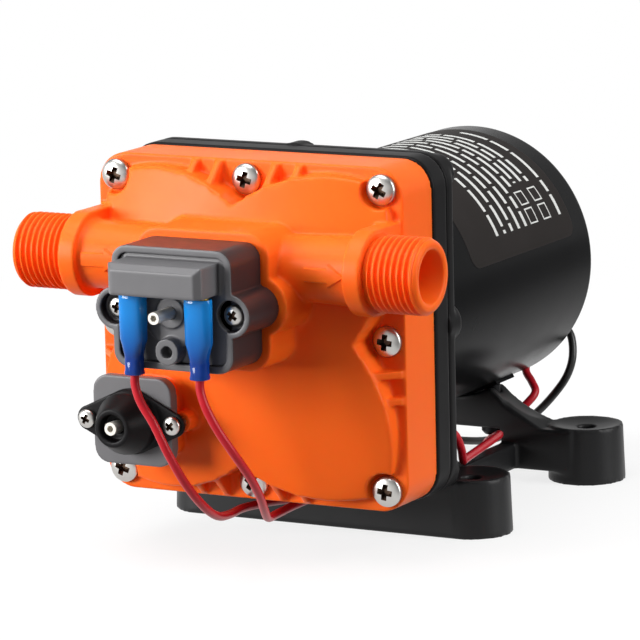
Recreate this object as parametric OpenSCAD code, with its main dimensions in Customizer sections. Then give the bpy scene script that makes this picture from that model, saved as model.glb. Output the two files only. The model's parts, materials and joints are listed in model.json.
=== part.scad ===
/* [Mounting base] */
// Distance between the foot holes across the pump
foot_pitch_x = 83; // [76:0.5:96]
// Distance between the foot holes along the pump
foot_pitch_y = 75; // [66:0.5:90]
// Height of a foot
foot_h = 16.5; // [13:0.5:18]
// Radius of a foot at its top
foot_r = 10.8; // [9:0.1:12]
// Radius of a foot at the floor
foot_floor_r = 11.4; // [9.5:0.1:13]
// Radius of the screw hole through a foot
foot_hole_r = 2.75; // [2:0.05:3.5]
// Depth of the dish in the top of a foot
foot_dish = 1.2; // [0.5:0.1:2]
// Height of the pump axis above the floor
axis_h = 63; // [60:0.5:72]
// Thickness of a yoke, along the pump
yoke_t = 11.5; // [8:0.5:14]
// Radius of the bend between a yoke's slope and its arm
yoke_bend_r = 6; // [4:0.5:8]
// Slope of a yoke above its feet, in degrees
yoke_slope = 29; // [25:0.5:33]
// Half width of the wire passage over the front yoke
wire_gate = 9.5; // [7:0.5:11]
// Half width of the window in the rear yoke
window_half = 19; // [16:0.5:21]
// Height of the window in the rear yoke
window_h = 15; // [13:0.5:16]

/* [Head] */
// Distance from the front foot holes to the front face of the head flange
head_setback = 49.5; // [48:0.5:60]
// Width of the square head flange
flange_w = 94.5; // [92:0.5:104]
// Corner radius of the head flange
flange_r = 8.5; // [6:0.5:10]
// Depth of the head flange
flange_t = 17; // [16:0.5:22]
// How far the black frame stands out past the flange, all round
frame_proud = 0.5; // [0.2:0.1:1.5]
// Depth of the black frame
frame_t = 8; // [7:0.5:11]
// Depth of the housing flange behind the frame
housing_flange_t = 4; // [3:0.5:6]
// Depth of the round skirt between the housing flange and the motor
skirt_t = 7; // [6.5:0.5:10]
// Radius of the round skirt
skirt_r = 43; // [42.5:0.1:44]
// Distance of a corner screw from the flange's edges
head_screw_inset = 6; // [5.5:0.1:6.5]
// Distance of a mid-side screw from the flange's edge
head_mid_inset = 5.15; // [5:0.05:5.6]
// Diameter of a head screw's pan head
head_screw_d = 8.1; // [6:0.1:9]
// Thread diameter of a head screw
head_thread_d = 4; // [3:0.1:5]
// Distance of the four lobes from the flange's edges
crown_margin = 2.55; // [2:0.05:4]
// Distance of the lobe arcs' centres from the axis
lobe_offset = 26; // [24:0.1:27]
// Sideways step of the lobe arcs' centres
lobe_step = 1.5; // [0.5:0.1:2]
// Height of the crown above the flange face
crown_h = 14; // [12:0.5:16]
// Radius of the domed crown
crown_r = 145; // [135:1:170]
// Thickness of a gusset rib
rib_t = 2; // [1.5:0.1:3]
// Height of a gusset rib where it meets the crown
rib_h = 7.2; // [5:0.1:7.4]

/* [Ports] */
// Distance between the port mouths
port_span = 124.8; // [118:0.2:132]
// Height of the port axis above the pump axis
port_z = 21; // [20:0.5:23]
// Distance of the port axis in front of the flange face
port_out = 13; // [12:0.5:15]
// Outside diameter of a port over its thread
port_d = 20.96; // [19:0.02:22]
// Bore of a port
port_bore = 14.4; // [11:0.1:15]
// Length of the thread
thread_l = 14.5; // [11:0.5:15]
// Diameter of the collar behind the thread
collar_d = 23.6; // [22.5:0.1:25]
// Length of the collar
collar_l = 5; // [3:0.5:6]

/* [Valves and diaphragm] */
// Distance of a piston's axis from the pump axis, across and up
piston_pitch = 19.5; // [18.5:0.5:20]
// Radius of a pumping chamber
chamber_r = 14.5; // [13.5:0.1:15]
// Radius of a piston cap
cap_r = 9; // [8:0.1:10]
// Distance of the square valve plate from the flange's edges
valve_margin = 9.75; // [8.75:0.25:10.25]
// Thickness of the valve plate
valve_t = 11; // [10.5:0.1:12]
// Thickness of the rubber diaphragm
diaphragm_t = 2.4; // [2.2:0.1:2.8]
// Tilt of the swash cam, in degrees
swash_tilt = 3; // [2:0.1:3.2]
// Diameter of the swash bearing's outer ring
swash_bearing_d = 32; // [30:0.5:33]
// Diameter of the swash bearing's bore
swash_bearing_bore = 20; // [18:0.5:21]
// Width of the swash bearing
swash_bearing_w = 6; // [5:0.5:6.5]

/* [Motor] */
// Diameter of the motor can
motor_d = 76; // [74:0.5:80]
// Length of the motor can
motor_l = 102.9; // [98:0.1:115]
// Wall of the motor can
can_wall = 1.8; // [1.2:0.1:2.5]
// Radius of the can's rear edge
can_edge_r = 3; // [2:0.5:5]
// Diameter of the motor shaft
shaft_d = 8; // [6:0.5:9]
// Diameter of the armature
armature_d = 44; // [40:1:46]
// Length of the armature's iron stack
stack_l = 45; // [38:1:46]
// Diameter of the commutator
commutator_d = 19; // [17:0.5:21]

/* [Pressure switch] */
// Width of the switch
switch_w = 36.5; // [35:0.5:40]
// Height of the switch
switch_h = 33; // [32:0.5:36]
// Depth of the switch
switch_d = 16.5; // [16:0.5:20]
// Height of the switch's centre above the pump axis
switch_z = 13.2; // [12.5:0.1:14]
// Distance of the switch's back from the flange face
switch_out = 26.5; // [26:0.5:29]
// Distance between the switch's lug screws
lug_pitch = 35.4; // [34.5:0.2:38]
// Radius of a lug
lug_r = 5.8; // [5.2:0.1:6.5]
// Margin of the orange pedestal around the switch
pedestal_margin = 2.3; // [2:0.1:3.5]
// Distance between the spade terminals
spade_pitch = 20; // [18:0.5:20.5]

/* [Bypass valve] */
// Distance of the bypass valve's axis from the flange's side
bypass_inset_x = 20.25; // [19.75:0.25:21.25]
// Distance of the bypass valve's axis from the flange's lower edge
bypass_inset_z = 23.75; // [22.25:0.25:24.25]
// Distance of the bypass plate's back from the flange face
bypass_out = 16.5; // [15:0.5:18]
// Width of the square bypass plate
bypass_w = 24.6; // [24:0.2:27]
// Thickness of the bypass plate
bypass_t = 3.4; // [3:0.1:4]
// Distance between the bypass screws
bypass_screw_pitch = 26.8; // [26.4:0.2:29]
// Radius of the dome at its foot
dome_r = 8.6; // [8:0.1:9]
// Height of the dome in front of its ears
dome_h = 10; // [9.5:0.5:12]

/* [Leads] */
// Diameter of a lead over its insulation
lead_d = 2.4; // [2:0.1:2.8]

/* [Hidden] */
$fn = 64;
// Running clearance of a shaft or slide, on the radius
run_gap = 0.05;
// Gap between two pieces that only pass or seat loosely
seat_gap = 0.3;
// Clearance of a screw in its hole, on the radius
screw_gap = 0.2;
lead_sides = 8;

// Places along the pump, measured from the front face of the head flange
head_y = -foot_pitch_y / 2 - head_setback;
frame_y = flange_t;
housing_y = frame_y + frame_t;
skirt_y = housing_y + housing_flange_t;
motor_y = skirt_y + skirt_t;
motor_end = motor_y + motor_l;
motor_r = motor_d / 2;
can_inner_r = motor_r - can_wall;
shaft_r = shaft_d / 2;

// Head outline, drawn in from the flange's edges
frame_w = flange_w + 2 * frame_proud;
frame_r = flange_r + frame_proud;
head_screw_pitch = flange_w - 2 * head_screw_inset;
head_mid_r = flange_w / 2 - head_mid_inset;
lobe_r = flange_w / 2 - crown_margin - lobe_step;
valve_w = flange_w - 2 * valve_margin;
bypass_x = flange_w / 2 - bypass_inset_x;
bypass_z = flange_w / 2 - bypass_inset_z;
head_hole_r = head_thread_d / 2 + screw_gap;
head_boss_r = 5.6;
mid_boss_r = head_mid_inset + frame_proud + 0.55;
boss_end = skirt_y + 3;
bulge_screw_clear = head_screw_d / 2 + 1.2;
rib_reach = flange_w / 2 - 0.7;
rib_crest = lobe_r - 2.7;
rib_foot = lobe_r * 0.8;
rib_lip = 1;
rib_sites = [8.8, 16.2];

// Head interior
valve_y = flange_t - valve_t;
valve_r = 10;
gasket_t = 1;
gallery_y = -2;
gallery_out_r = valve_w / 2 - 2.5;
gallery_in_r = 21;
outlet_r = 18.5;
chamber_floor = 3;
inlet_disc_r = 6.3;
outlet_disc_r = outlet_r - 1.3;
outlet_disc_t = 1.4;
outlet_cone_h = 2;

// Swash drive: the centre of the tilt lies on the pump axis
swash_y = flange_t + 9;
swash_r = swash_bearing_bore / 2;
bearing_out_r = swash_bearing_d / 2;
ball_r = 1.9;
ball_track_r = (swash_r + bearing_out_r) / 2;
ring_wall = (bearing_out_r - swash_r) / 3;
ball_count = 12;
pad_front = flange_t - swash_y;
pad_back = pad_front + diaphragm_t;
pad_r = 13;
stem_r = 5.8;
cap_t = 2.5;
hub_r = bearing_out_r + 4;
cavity_clear = 4.5;
cavity_w = 2 * (piston_pitch + cap_r + cavity_clear);
cavity_r = 12;
cavity_end = motor_y - 2.5;
pilot_r = 12;
motor_screw_inset = 2.2;
motor_screw_r = can_inner_r - motor_screw_inset;
motor_head_r = 3.6;
motor_thread_r = 2;
motor_screw_turn = 45;

// Motor interior
front_plate_t = 3;
bush_wall = 4;
bush_l = 8;
armature_r = armature_d / 2;
stack_inset = 24;
stack_y = motor_y + stack_inset;
winding_l = 9;
commutator_r = commutator_d / 2;
commutator_y = stack_y + stack_l + winding_l + 1;
commutator_l = 9;
card_y = commutator_y + commutator_l + 1.5;
card_t = 3;
rear_bush_y = motor_end - can_wall - bush_l;
brush_w = 5;
brush_h = 6;
brush_l = 10;
brush_gap = 0.06;
brush_start = commutator_r + brush_gap;
spring_l = 7;
spring_out_r = 2.2;
spring_in_r = 1.7;
box_wall = 1;
magnet_gap = 1.5;
magnet_over = 6;
magnet_arc = 62;
slot_count = 12;
grommet_x = 14;
grommet_inset = 14;
grommet_z = grommet_inset - motor_r;
grommet_r = 6.5;
lead_step = 3;

// Base
yoke_floor = 3.5;
rail_w = 5;
rail_h = 7.5;
saddle_t = 1;
saddle_r = motor_r + saddle_t + seat_gap;
saddle_half = 27.8;
arm_half = saddle_r * sin(saddle_half);
saddle_screw_x = arm_half - 4.2;
saddle_head_r = 3.7;
foot_z = -axis_h;
foot_top = foot_h - axis_h;

// Port derived sizes
port_r = port_d / 2;
port_x = port_span / 2;
collar_x = port_x - thread_l - 1.5;
tube_r_out = 9.6;
tube_r_in = 8.4;

// Switch derived sizes
switch_r = 4.5;
switch_wall = 2;
rim_y = -switch_out - switch_d;
panel_y = rim_y + 1;
panel_t = 2;
switch_floor = 6;
membrane_r = 12.9;
membrane_t = 2;
guide_r = 9;
plunger_t = 3;
stud_r = 1.65;
stud_boss_r = 4.2;
stud_boss_h = 1.8;
test_boss_r = 3.6;
test_drop = 10.2;
raised_half = 8.5;
raised_h = 1.1;
stud_end = rim_y - 9.5;
switch_axis_z = 12.4;
tab_w = 6.3;
tab_t = 0.8;
hood_w = spade_pitch + tab_w + 2.2;
hood_low = switch_axis_z + 5.6;
hood_high = hood_low + 8.4;
hood_y = rim_y - 10;
hood_chamfer = 1.6;
barrel_r = 2.8;
spade_y = rim_y - barrel_r - seat_gap;
spade_w = tab_w + 1.6;
spade_depth = 4.8;
spade_high = hood_low - 0.7;
spade_hold = 13;
spade_l = 21.6;
spade_shoulder = spade_high - spade_hold;
spade_low = spade_high - spade_l;
tab_out = 9;
tab_in = 4;
lug_sink = 3;
switch_head_r = 2.9;
switch_grip = 4;
small_head_h = 1.9;
small_thread_r = 1.5;
micro_half = 10;
micro_over = 4;

// Bypass derived sizes
ear_t = 1.2;
ear_r = 3.5;
tangent_lap = 0.05;
bypass_bore = 6;
seat_r = 3.5;
ring_r = 5.2;
ring_bore = 3.8;
bypass_head_r = 2.6;
bypass_stud_r = 1.8;
bypass_stud_out = 0.6;
bypass_grip = 7;

orange = [1.0, 0.42, 0.13];
black = [0.13, 0.13, 0.14];
rubber = [0.2, 0.2, 0.2];
steel = [0.75, 0.75, 0.76];
copper = [0.72, 0.42, 0.24];
brass = [0.8, 0.65, 0.3];
white_plastic = [0.9, 0.9, 0.88];
blue = [0.05, 0.4, 0.85];
red = [0.8, 0.08, 0.12];
spring_steel = [0.6, 0.62, 0.65];
carbon = [0.25, 0.25, 0.27];
iron = [0.45, 0.46, 0.48];

// Working frame: the centre of the head on the flange face, with the motor along +Y
module at_head() translate([0, head_y, axis_h]) children();

// Frame that is tilted with the swash cam
module at_swash() translate([0, swash_y, 0]) rotate([swash_tilt, 0, 0]) children();

module at_pistons() {
    for (x = [-1, 1], z = [-1, 1])
        translate([x * piston_pitch, 0, z * piston_pitch]) children();
}

module at_corner_screws() {
    half = head_screw_pitch / 2;
    for (x = [-half, half], z = [-half, half]) translate([x, 0, z]) children();
}

module at_mid_screws() {
    for (s = [-1, 1]) {
        translate([s * head_mid_r, 0, 0]) children();
        translate([0, 0, s * head_mid_r]) children();
    }
}

module at_head_screws() {
    at_corner_screws() children();
    at_mid_screws() children();
}

// A flat outline, drawn in X and Z, that reaches from y0 to y1
module slab(y0, y1) translate([0, y1, 0]) rotate([90, 0, 0]) linear_extrude(y1 - y0) children();

// A round bar along Y
module rod(r, y0, y1) translate([0, y0, 0]) rotate([-90, 0, 0]) cylinder(r = r, h = y1 - y0);

// A cone along Y
module taper(r0, r1, y0, y1) {
    translate([0, y0, 0]) rotate([-90, 0, 0]) cylinder(r1 = r0, r2 = r1, h = y1 - y0);
}

// A round bar along X
module rod_x(r, x0, x1) translate([x0, 0, 0]) rotate([0, 90, 0]) cylinder(r = r, h = x1 - x0);

// A ring along Y
module ring(r_out, r_in, y0, y1) {
    difference() {
        rod(r_out, y0, y1);
        rod(r_in, y0 - 1, y1 + 1);
    }
}

// A box from its low corner to its high corner
module block(low, high) translate(low) cube(high - low);

module round_rect(w, h, r) {
    square([w - 2 * r, h], center = true);
    square([w, h - 2 * r], center = true);
    for (x = [-1, 1], z = [-1, 1]) translate([x * (w / 2 - r), z * (h / 2 - r)]) circle(r);
}

// A pan-head screw that points along +Y, with its seat at y = 0
module pan_screw(head_r, head_h, thread_r, length) {
    cap_r = (head_r * head_r + head_h * head_h) / (2 * head_h);
    intersection() {
        rod(head_r, -head_h, 0);
        translate([0, cap_r - head_h * 1.25, 0]) sphere(cap_r * 1.1);
    }
    rod(thread_r, -0.01, length);
}

// A lens with two round ends, drawn flat: the sides run just inside the circles' outer tangents
module link(d, r_mid, r_end) {
    lean = asin((r_mid - r_end) / d);
    mid = r_mid - tangent_lap;
    end = r_end - tangent_lap;
    circle(r_mid);
    for (s = [-1, 1]) translate([s * d, 0]) circle(r_end);
    polygon([
        [mid * sin(lean), mid * cos(lean)], [d + end * sin(lean), end * cos(lean)],
        [d + end * sin(lean), -end * cos(lean)], [mid * sin(lean), -mid * cos(lean)],
        [-mid * sin(lean), -mid * cos(lean)], [-d - end * sin(lean), -end * cos(lean)],
        [-d - end * sin(lean), end * cos(lean)], [-mid * sin(lean), mid * cos(lean)]
    ]);
}

// Four-lobed outline of the head's crown, drawn in X and Z
module lobes() {
    difference() {
        intersection() {
            union() {
                for (s = [-1, 1], t = [-1, 1]) translate([s * lobe_offset, t * lobe_step]) circle(lobe_r);
            }
            union() {
                for (s = [-1, 1], t = [-1, 1]) translate([t * lobe_step, s * lobe_offset]) circle(lobe_r);
            }
        }
        half = head_screw_pitch / 2;
        for (x = [-half, half], z = [-half, half]) translate([x, z]) circle(bulge_screw_clear);
        for (s = [-1, 1]) {
            translate([s * head_mid_r, 0]) circle(bulge_screw_clear);
            translate([0, s * head_mid_r]) circle(bulge_screw_clear);
        }
    }
}

// Outline of the pressure switch with its two lugs, grown by a margin
module switch_outline(margin) {
    translate([0, switch_z]) round_rect(switch_w + 2 * margin, switch_h + 2 * margin, switch_r + margin);
    for (s = [-1, 1]) translate([s * lug_pitch / 2, switch_axis_z]) circle(lug_r + margin);
}

// One gusset rib on the top side of the flange, at a distance along X
module rib(x) {
    translate([x - rib_t / 2, 0, 0]) rotate([90, 0, 90]) linear_extrude(rib_t)
        polygon([[0.01, rib_reach], [0.01, rib_foot], [-rib_h, rib_foot], [-rib_h, rib_crest],
            [-rib_lip, rib_reach]]);
}

// Ribs beside the mid screws: four at the top and bottom, two at each side
module ribs() {
    for (turn = [0, 180], s = [-1, 1], x = rib_sites) rotate([0, turn, 0]) rib(s * x);
    for (turn = [90, 270], x = rib_sites) rotate([0, turn, 0]) rib(turn == 90 ? x : -x);
}

// The outlet port's outside; the inlet is its mirror image
module port_outside() {
    translate([0, -port_out, port_z]) {
        rod_x(port_r, collar_x, port_x - 1);
        translate([port_x - 1, 0, 0]) rotate([0, 90, 0]) cylinder(r1 = port_r, r2 = port_r - 0.9, h = 1);
        rod_x(collar_d / 2, collar_x - collar_l, collar_x);
        translate([collar_x - collar_l, 0, -collar_d / 2]) cube([collar_l, port_out, collar_d]);
        tube_start = switch_w / 2 - switch_r;
        tube_l = collar_x - collar_l - tube_start;
        translate([tube_start, 0, 0]) rotate([0, 90, 0])
            cylinder(r1 = tube_r_in, r2 = tube_r_out, h = tube_l);
        translate([tube_start, 0, -tube_r_in]) cube([tube_l, port_out, 2 * tube_r_in]);
    }
}

// Water ways from the ports to the galleries behind the crown
module water_ways() {
    translate([0, -port_out, port_z]) {
        rod_x(port_bore / 2, -port_x - 1, -bypass_x);
        rod_x(port_bore / 2, 3, port_x + 1);
    }
    translate([-bypass_x, 0, port_z]) rod(6, -port_out, gallery_y + 0.5);
    translate([5, 0, 14.5]) rod(5, -port_out, gallery_y + 0.5);
    translate([0, 0, switch_axis_z]) rod(2, -switch_out - 1, -9);
    translate([-bypass_x, 0, -bypass_z]) rod(seat_r, -bypass_out - 1, gallery_y + 0.5);
}

module upper_housing() color(orange) at_head() {
    difference() {
        union() {
            slab(0, flange_t) round_rect(flange_w, flange_w, flange_r);
            intersection() {
                slab(-crown_h - 1, 1) lobes();
                translate([0, crown_r - crown_h, 0]) sphere(crown_r, $fn = 128);
            }
            ribs();
            port_outside();
            mirror([1, 0, 0]) port_outside();
            slab(-switch_out, 0) switch_outline(pedestal_margin);
            translate([-bypass_x, 0, -bypass_z]) slab(-bypass_out, 0) {
                round_rect(bypass_w - 3, bypass_w - 3, switch_r);
                for (s = [-1, 1]) translate([s * bypass_screw_pitch / 2, 0]) circle(ear_r - 0.6);
            }
        }
        slab(valve_y - gasket_t, flange_t + 1)
            round_rect(valve_w + 2 * run_gap, valve_w + 2 * run_gap, valve_r + run_gap);
        ring(gallery_out_r, gallery_in_r, gallery_y, valve_y);
        rod(outlet_r, gallery_y, valve_y);
        water_ways();
        at_head_screws() rod(head_hole_r, -1, flange_t + 1);
        for (s = [-1, 1]) {
            translate([s * lug_pitch / 2, 0, switch_axis_z]) rod(1.5, -switch_out - 1, -switch_out + 9);
            translate([-bypass_x + s * bypass_screw_pitch / 2, 0, -bypass_z])
                rod(1.5, -bypass_out - 1, -bypass_out + 8);
        }
    }
}

module diaphragm_frame() color(black) at_head() {
    difference() {
        slab(frame_y, housing_y) round_rect(frame_w, frame_w, frame_r);
        slab(frame_y - 1, frame_y + diaphragm_t) round_rect(valve_w, valve_w, valve_r);
        at_pistons() rod(chamber_r, frame_y, housing_y + 1);
        slab(frame_y + diaphragm_t + 2, housing_y + 1) round_rect(cavity_w, cavity_w, cavity_r);
        at_head_screws() rod(head_hole_r, frame_y - 1, housing_y + 1);
    }
}

module lower_housing() color(black) at_head() {
    difference() {
        union() {
            slab(housing_y, skirt_y) round_rect(frame_w, frame_w, frame_r);
            rod(skirt_r, skirt_y, motor_y);
            at_corner_screws() rod(head_boss_r, housing_y, boss_end);
            at_mid_screws() rod(mid_boss_r, housing_y, boss_end);
        }
        slab(housing_y - 1, cavity_end) round_rect(cavity_w, cavity_w, cavity_r);
        rod(pilot_r + run_gap, cavity_end - 1, motor_y + 1);
        at_head_screws() rod(head_thread_d / 2 + run_gap, housing_y - 1, boss_end - 0.7);
        for (turn = [0 : 90 : 270]) rotate([0, turn + motor_screw_turn, 0])
            translate([motor_screw_r, 0, 0]) rod(motor_thread_r + screw_gap, cavity_end - 1, motor_y + 1);
    }
}

module head_screws() color(steel) at_head() {
    at_head_screws() pan_screw(head_screw_d / 2, 2.7, head_thread_d / 2, boss_end - 1.5);
}

module valve_plate() color(white_plastic) at_head() {
    difference() {
        slab(valve_y, flange_t) round_rect(valve_w, valve_w, valve_r);
        at_pistons() rod(chamber_r, valve_y + chamber_floor, flange_t + 1);
        // Inlet holes round each valve stem, and outlet holes towards the centre
        at_pistons() {
            rod(1.4 + run_gap, valve_y - 1, flange_t);
            for (turn = [0 : 60 : 300]) rotate([0, turn, 0]) translate([4.2, 0, 0])
                rod(1.3, valve_y - 1, flange_t);
        }
        for (turn = [45 : 90 : 315], step = [-9, 9]) rotate([0, turn + step, 0])
            translate([15.4, 0, 0]) rod(1.2, valve_y - 1, valve_y + chamber_floor + 1);
        rod(1.8 + run_gap, valve_y - 1, flange_t + 1);
    }
}

module valve_gasket() color(rubber) at_head() {
    difference() {
        slab(valve_y - gasket_t, valve_y) round_rect(valve_w - 0.4, valve_w - 0.4, valve_r);
        ring(gallery_out_r - 0.5, gallery_in_r + 0.5, valve_y - gasket_t - 1, valve_y + 1);
        rod(outlet_r, valve_y - gasket_t - 1, valve_y + 1);
    }
}

// Rubber discs that lift off the chamber side of the valve plate
module inlet_valves() color(rubber) at_head() {
    at_pistons() {
        rod(inlet_disc_r, valve_y + chamber_floor, valve_y + chamber_floor + 1.3);
        rod(1.4, valve_y - 1.2, valve_y + chamber_floor + 0.5);
        taper(1.4, 2.1, valve_y - 2.4, valve_y);
    }
}

// Domed rubber disc over the outlet holes
module outlet_valve() color(rubber) at_head() {
    difference() {
        union() {
            rod(outlet_disc_r, valve_y - outlet_disc_t, valve_y);
            taper(inlet_disc_r / 2, inlet_disc_r, valve_y - outlet_disc_t - outlet_cone_h,
                valve_y - outlet_disc_t);
            rod(1.8, valve_y - 1, flange_t - 1.5);
        }
        for (turn = [0 : 90 : 270]) rotate([0, turn, 0])
            block([inlet_disc_r + 0.7, valve_y - outlet_disc_t - 1, -0.4],
                [outlet_r, valve_y + 1, 0.4]);
    }
}

// Sheet with four pads that follow the tilted pistons
module diaphragm() color(rubber) at_head() {
    difference() {
        union() {
            difference() {
                slab(frame_y, frame_y + diaphragm_t) round_rect(valve_w - 0.4, valve_w - 0.4, valve_r);
                at_pistons() rod(pad_r - 0.6, frame_y - 1, frame_y + diaphragm_t + 1);
            }
            at_swash() at_pistons() rod(pad_r, pad_front, pad_back);
        }
        at_swash() at_pistons() rod(stem_r + seat_gap, pad_front - 1, pad_back + 1);
        rod(2.4, frame_y - 1, frame_y + diaphragm_t + 1);
    }
}

module piston_caps() color(white_plastic) at_head() at_swash() at_pistons() {
    front = pad_front - seat_gap - cap_t;
    difference() {
        rod(cap_r, front, pad_front - seat_gap);
        taper(3.6 + screw_gap, 2, front - 0.01, front + 1.6);
        rod(2 + screw_gap, front, pad_front + 1);
    }
}

module piston_screws() color(steel) at_head() at_swash() at_pistons() {
    front = pad_front - seat_gap - cap_t;
    taper(3.6, 2, front, front + 1.6);
    rod(2, front + 1.5, -1);
}

// Hub with four arms that end in the piston stems
module wobble_plate() color(white_plastic) at_head() at_swash() {
    hub_w = swash_bearing_w / 2;
    difference() {
        union() {
            rod(hub_r, -hub_w, hub_w);
            at_pistons() {
                rod(cap_r, pad_back + seat_gap, hub_w - 1);
                rod(stem_r, pad_front - seat_gap, pad_back + 1);
            }
            for (turn = [45, 135]) rotate([0, turn, 0])
                block([-piston_pitch * sqrt(2), -1, -3], [piston_pitch * sqrt(2), hub_w - 1, 3]);
        }
        rod(bearing_out_r, -hub_w - 1, hub_w + 1);
        at_pistons() rod(2, pad_front - 1, -0.5);
    }
}

// Ball track that both bearing rings share
module ball_track() {
    rotate([-90, 0, 0]) rotate_extrude() translate([ball_track_r, 0]) circle(ball_r + 0.1);
}

module swash_bearing_outer() color(steel) at_head() at_swash() {
    difference() {
        ring(bearing_out_r, bearing_out_r - ring_wall, -swash_bearing_w / 2, swash_bearing_w / 2);
        ball_track();
    }
}

module swash_bearing_inner() color(steel) at_head() at_swash() {
    difference() {
        ring(swash_r + ring_wall, swash_r, -swash_bearing_w / 2, swash_bearing_w / 2);
        ball_track();
    }
}

module swash_bearing_balls() color(steel) at_head() at_swash() {
    for (i = [0 : ball_count - 1]) rotate([0, i * 360 / ball_count, 0])
        translate([ball_track_r, 0, 0]) sphere(ball_r, $fn = 24);
}

module swash_cam() color(iron) at_head() {
    difference() {
        at_swash() {
            rod(swash_r, -swash_bearing_w / 2, swash_bearing_w / 2);
            rod(swash_r + ring_wall - 0.4, swash_bearing_w / 2, swash_bearing_w / 2 + 2.2);
        }
        rod(shaft_r, swash_y - 12, swash_y + 12);
    }
}

module motor_shaft() color(steel) at_head() {
    rod(shaft_r, swash_y - swash_bearing_w / 2 - 1.5, motor_end - can_wall - 0.5);
}

module armature_core() color(iron) at_head() {
    difference() {
        rod(armature_r, stack_y, stack_y + stack_l);
        rod(shaft_r, stack_y - 1, stack_y + stack_l + 1);
        for (i = [0 : slot_count - 1]) rotate([0, i * 360 / slot_count, 0]) {
            translate([armature_r - 6, 0, 0]) rod(2.6, stack_y - 1, stack_y + stack_l + 1);
            block([armature_r - 6, stack_y - 1, -0.8], [armature_r + 1, stack_y + stack_l + 1, 0.8]);
        }
    }
}

// Copper in the slots, with the end turns at both ends of the stack
module armature_windings() color(copper) at_head() {
    turn_r = armature_r - 2.6;
    for (i = [0 : slot_count - 1]) rotate([0, i * 360 / slot_count, 0])
        translate([armature_r - 6, 0, 0]) rod(2.6 - run_gap, stack_y - 0.5, stack_y + stack_l + 0.5);
    for (y = [stack_y - winding_l, stack_y + stack_l])
        translate([0, y, 0]) rotate([-90, 0, 0]) rotate_extrude()
            translate([(turn_r + shaft_r + 1) / 2, winding_l / 2])
                round_rect(turn_r - shaft_r - 1, winding_l, 2.5);
}

module commutator() color(brass) at_head() {
    difference() {
        rod(commutator_r, commutator_y, commutator_y + commutator_l);
        rod(shaft_r, commutator_y - 1, commutator_y + commutator_l + 1);
        for (i = [0 : slot_count - 1]) rotate([0, (i + 0.5) * 360 / slot_count, 0])
            block([commutator_r - 0.8, commutator_y - 1, -0.3],
                [commutator_r + 1, commutator_y + commutator_l + 1, 0.3]);
    }
}

// Deep-drawn can, open at the front, with a bush pocket in its rear wall
module motor_can() color(black) at_head() {
    difference() {
        union() {
            difference() {
                rotate([-90, 0, 0]) rotate_extrude() {
                    translate([0, motor_y]) square([motor_r, motor_l - can_edge_r]);
                    translate([0, motor_y]) square([motor_r - can_edge_r, motor_l]);
                    translate([motor_r - can_edge_r, motor_end - can_edge_r]) circle(can_edge_r);
                }
                rod(can_inner_r, motor_y - 1, motor_end - can_wall);
            }
            ring(shaft_r + bush_wall + 2, shaft_r + bush_wall, rear_bush_y, motor_end - can_wall);
        }
        translate([grommet_x, 0, grommet_z]) rod(grommet_r - 1.2, motor_end - can_wall - 1, motor_end + 1);
    }
}

module motor_front_plate() color(steel) at_head() {
    difference() {
        union() {
            rod(can_inner_r - run_gap, motor_y, motor_y + front_plate_t);
            rod(pilot_r, cavity_end, motor_y + bush_l - 2);
        }
        rod(shaft_r + bush_wall, cavity_end - 1, motor_y + bush_l);
        for (turn = [0 : 90 : 270]) rotate([0, turn + motor_screw_turn, 0])
            translate([motor_screw_r, 0, 0]) rod(motor_thread_r, motor_y - 1, motor_y + front_plate_t + 1);
    }
}

module front_bush() color(brass) at_head() {
    ring(shaft_r + bush_wall, shaft_r + run_gap, cavity_end + 0.5, motor_y + bush_l - 2.5);
}

module rear_bush() color(brass) at_head() {
    ring(shaft_r + bush_wall, shaft_r + run_gap, rear_bush_y, motor_end - can_wall);
}

module motor_screws() color(steel) at_head() {
    for (turn = [0 : 90 : 270]) rotate([0, turn + motor_screw_turn, 0])
        translate([motor_screw_r, cavity_end, 0])
            pan_screw(motor_head_r, small_head_h, motor_thread_r, motor_y + front_plate_t - cavity_end);
}

// Two arc magnets against the can, with the gap between them at the sides
module magnets() color(carbon) at_head() {
    low_r = armature_r + magnet_gap;
    for (turn = [0, 180]) rotate([0, turn, 0]) intersection() {
        ring(can_inner_r, low_r, stack_y - magnet_over, stack_y + stack_l + magnet_over);
        slab(stack_y - magnet_over - 1, stack_y + stack_l + magnet_over + 1)
            polygon([[0, 0], [-motor_d * tan(magnet_arc), motor_d], [motor_d * tan(magnet_arc), motor_d]]);
    }
}

// Plastic card across the rear of the can with two brush boxes
module brush_card() color(white_plastic) at_head() {
    mid = commutator_y + commutator_l / 2;
    reach = brush_start + brush_l + spring_l;
    difference() {
        union() {
            rod(can_inner_r - run_gap, card_y, card_y + card_t);
            for (s = [-1, 1]) scale([s, 1, 1])
                block([commutator_r + 1.5, mid - brush_w / 2 - box_wall, -brush_h / 2 - box_wall],
                    [reach + box_wall, card_y + 0.5, brush_h / 2 + box_wall]);
        }
        rod(shaft_r + bush_wall + 2.5, card_y - 1, card_y + card_t + 1);
        for (s = [-1, 1]) scale([s, 1, 1])
            block([commutator_r, mid - brush_w / 2 - run_gap, -brush_h / 2 - run_gap],
                [reach, mid + brush_w / 2 + run_gap, brush_h / 2 + run_gap]);
        translate([grommet_x, 0, grommet_z]) rod(grommet_r, card_y - 1, card_y + card_t + 1);
    }
}

// Carbon brush on the outlet side; the other is its mirror image
module brush() {
    mid = commutator_y + commutator_l / 2;
    difference() {
        block([commutator_r - 1.5, mid - brush_w / 2, -brush_h / 2],
            [brush_start + brush_l, mid + brush_w / 2, brush_h / 2]);
        rod(brush_start, mid - brush_w, mid + brush_w);
    }
}

module brush_right() color(carbon) at_head() brush();

module brush_left() color(carbon) at_head() mirror([1, 0, 0]) brush();

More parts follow.
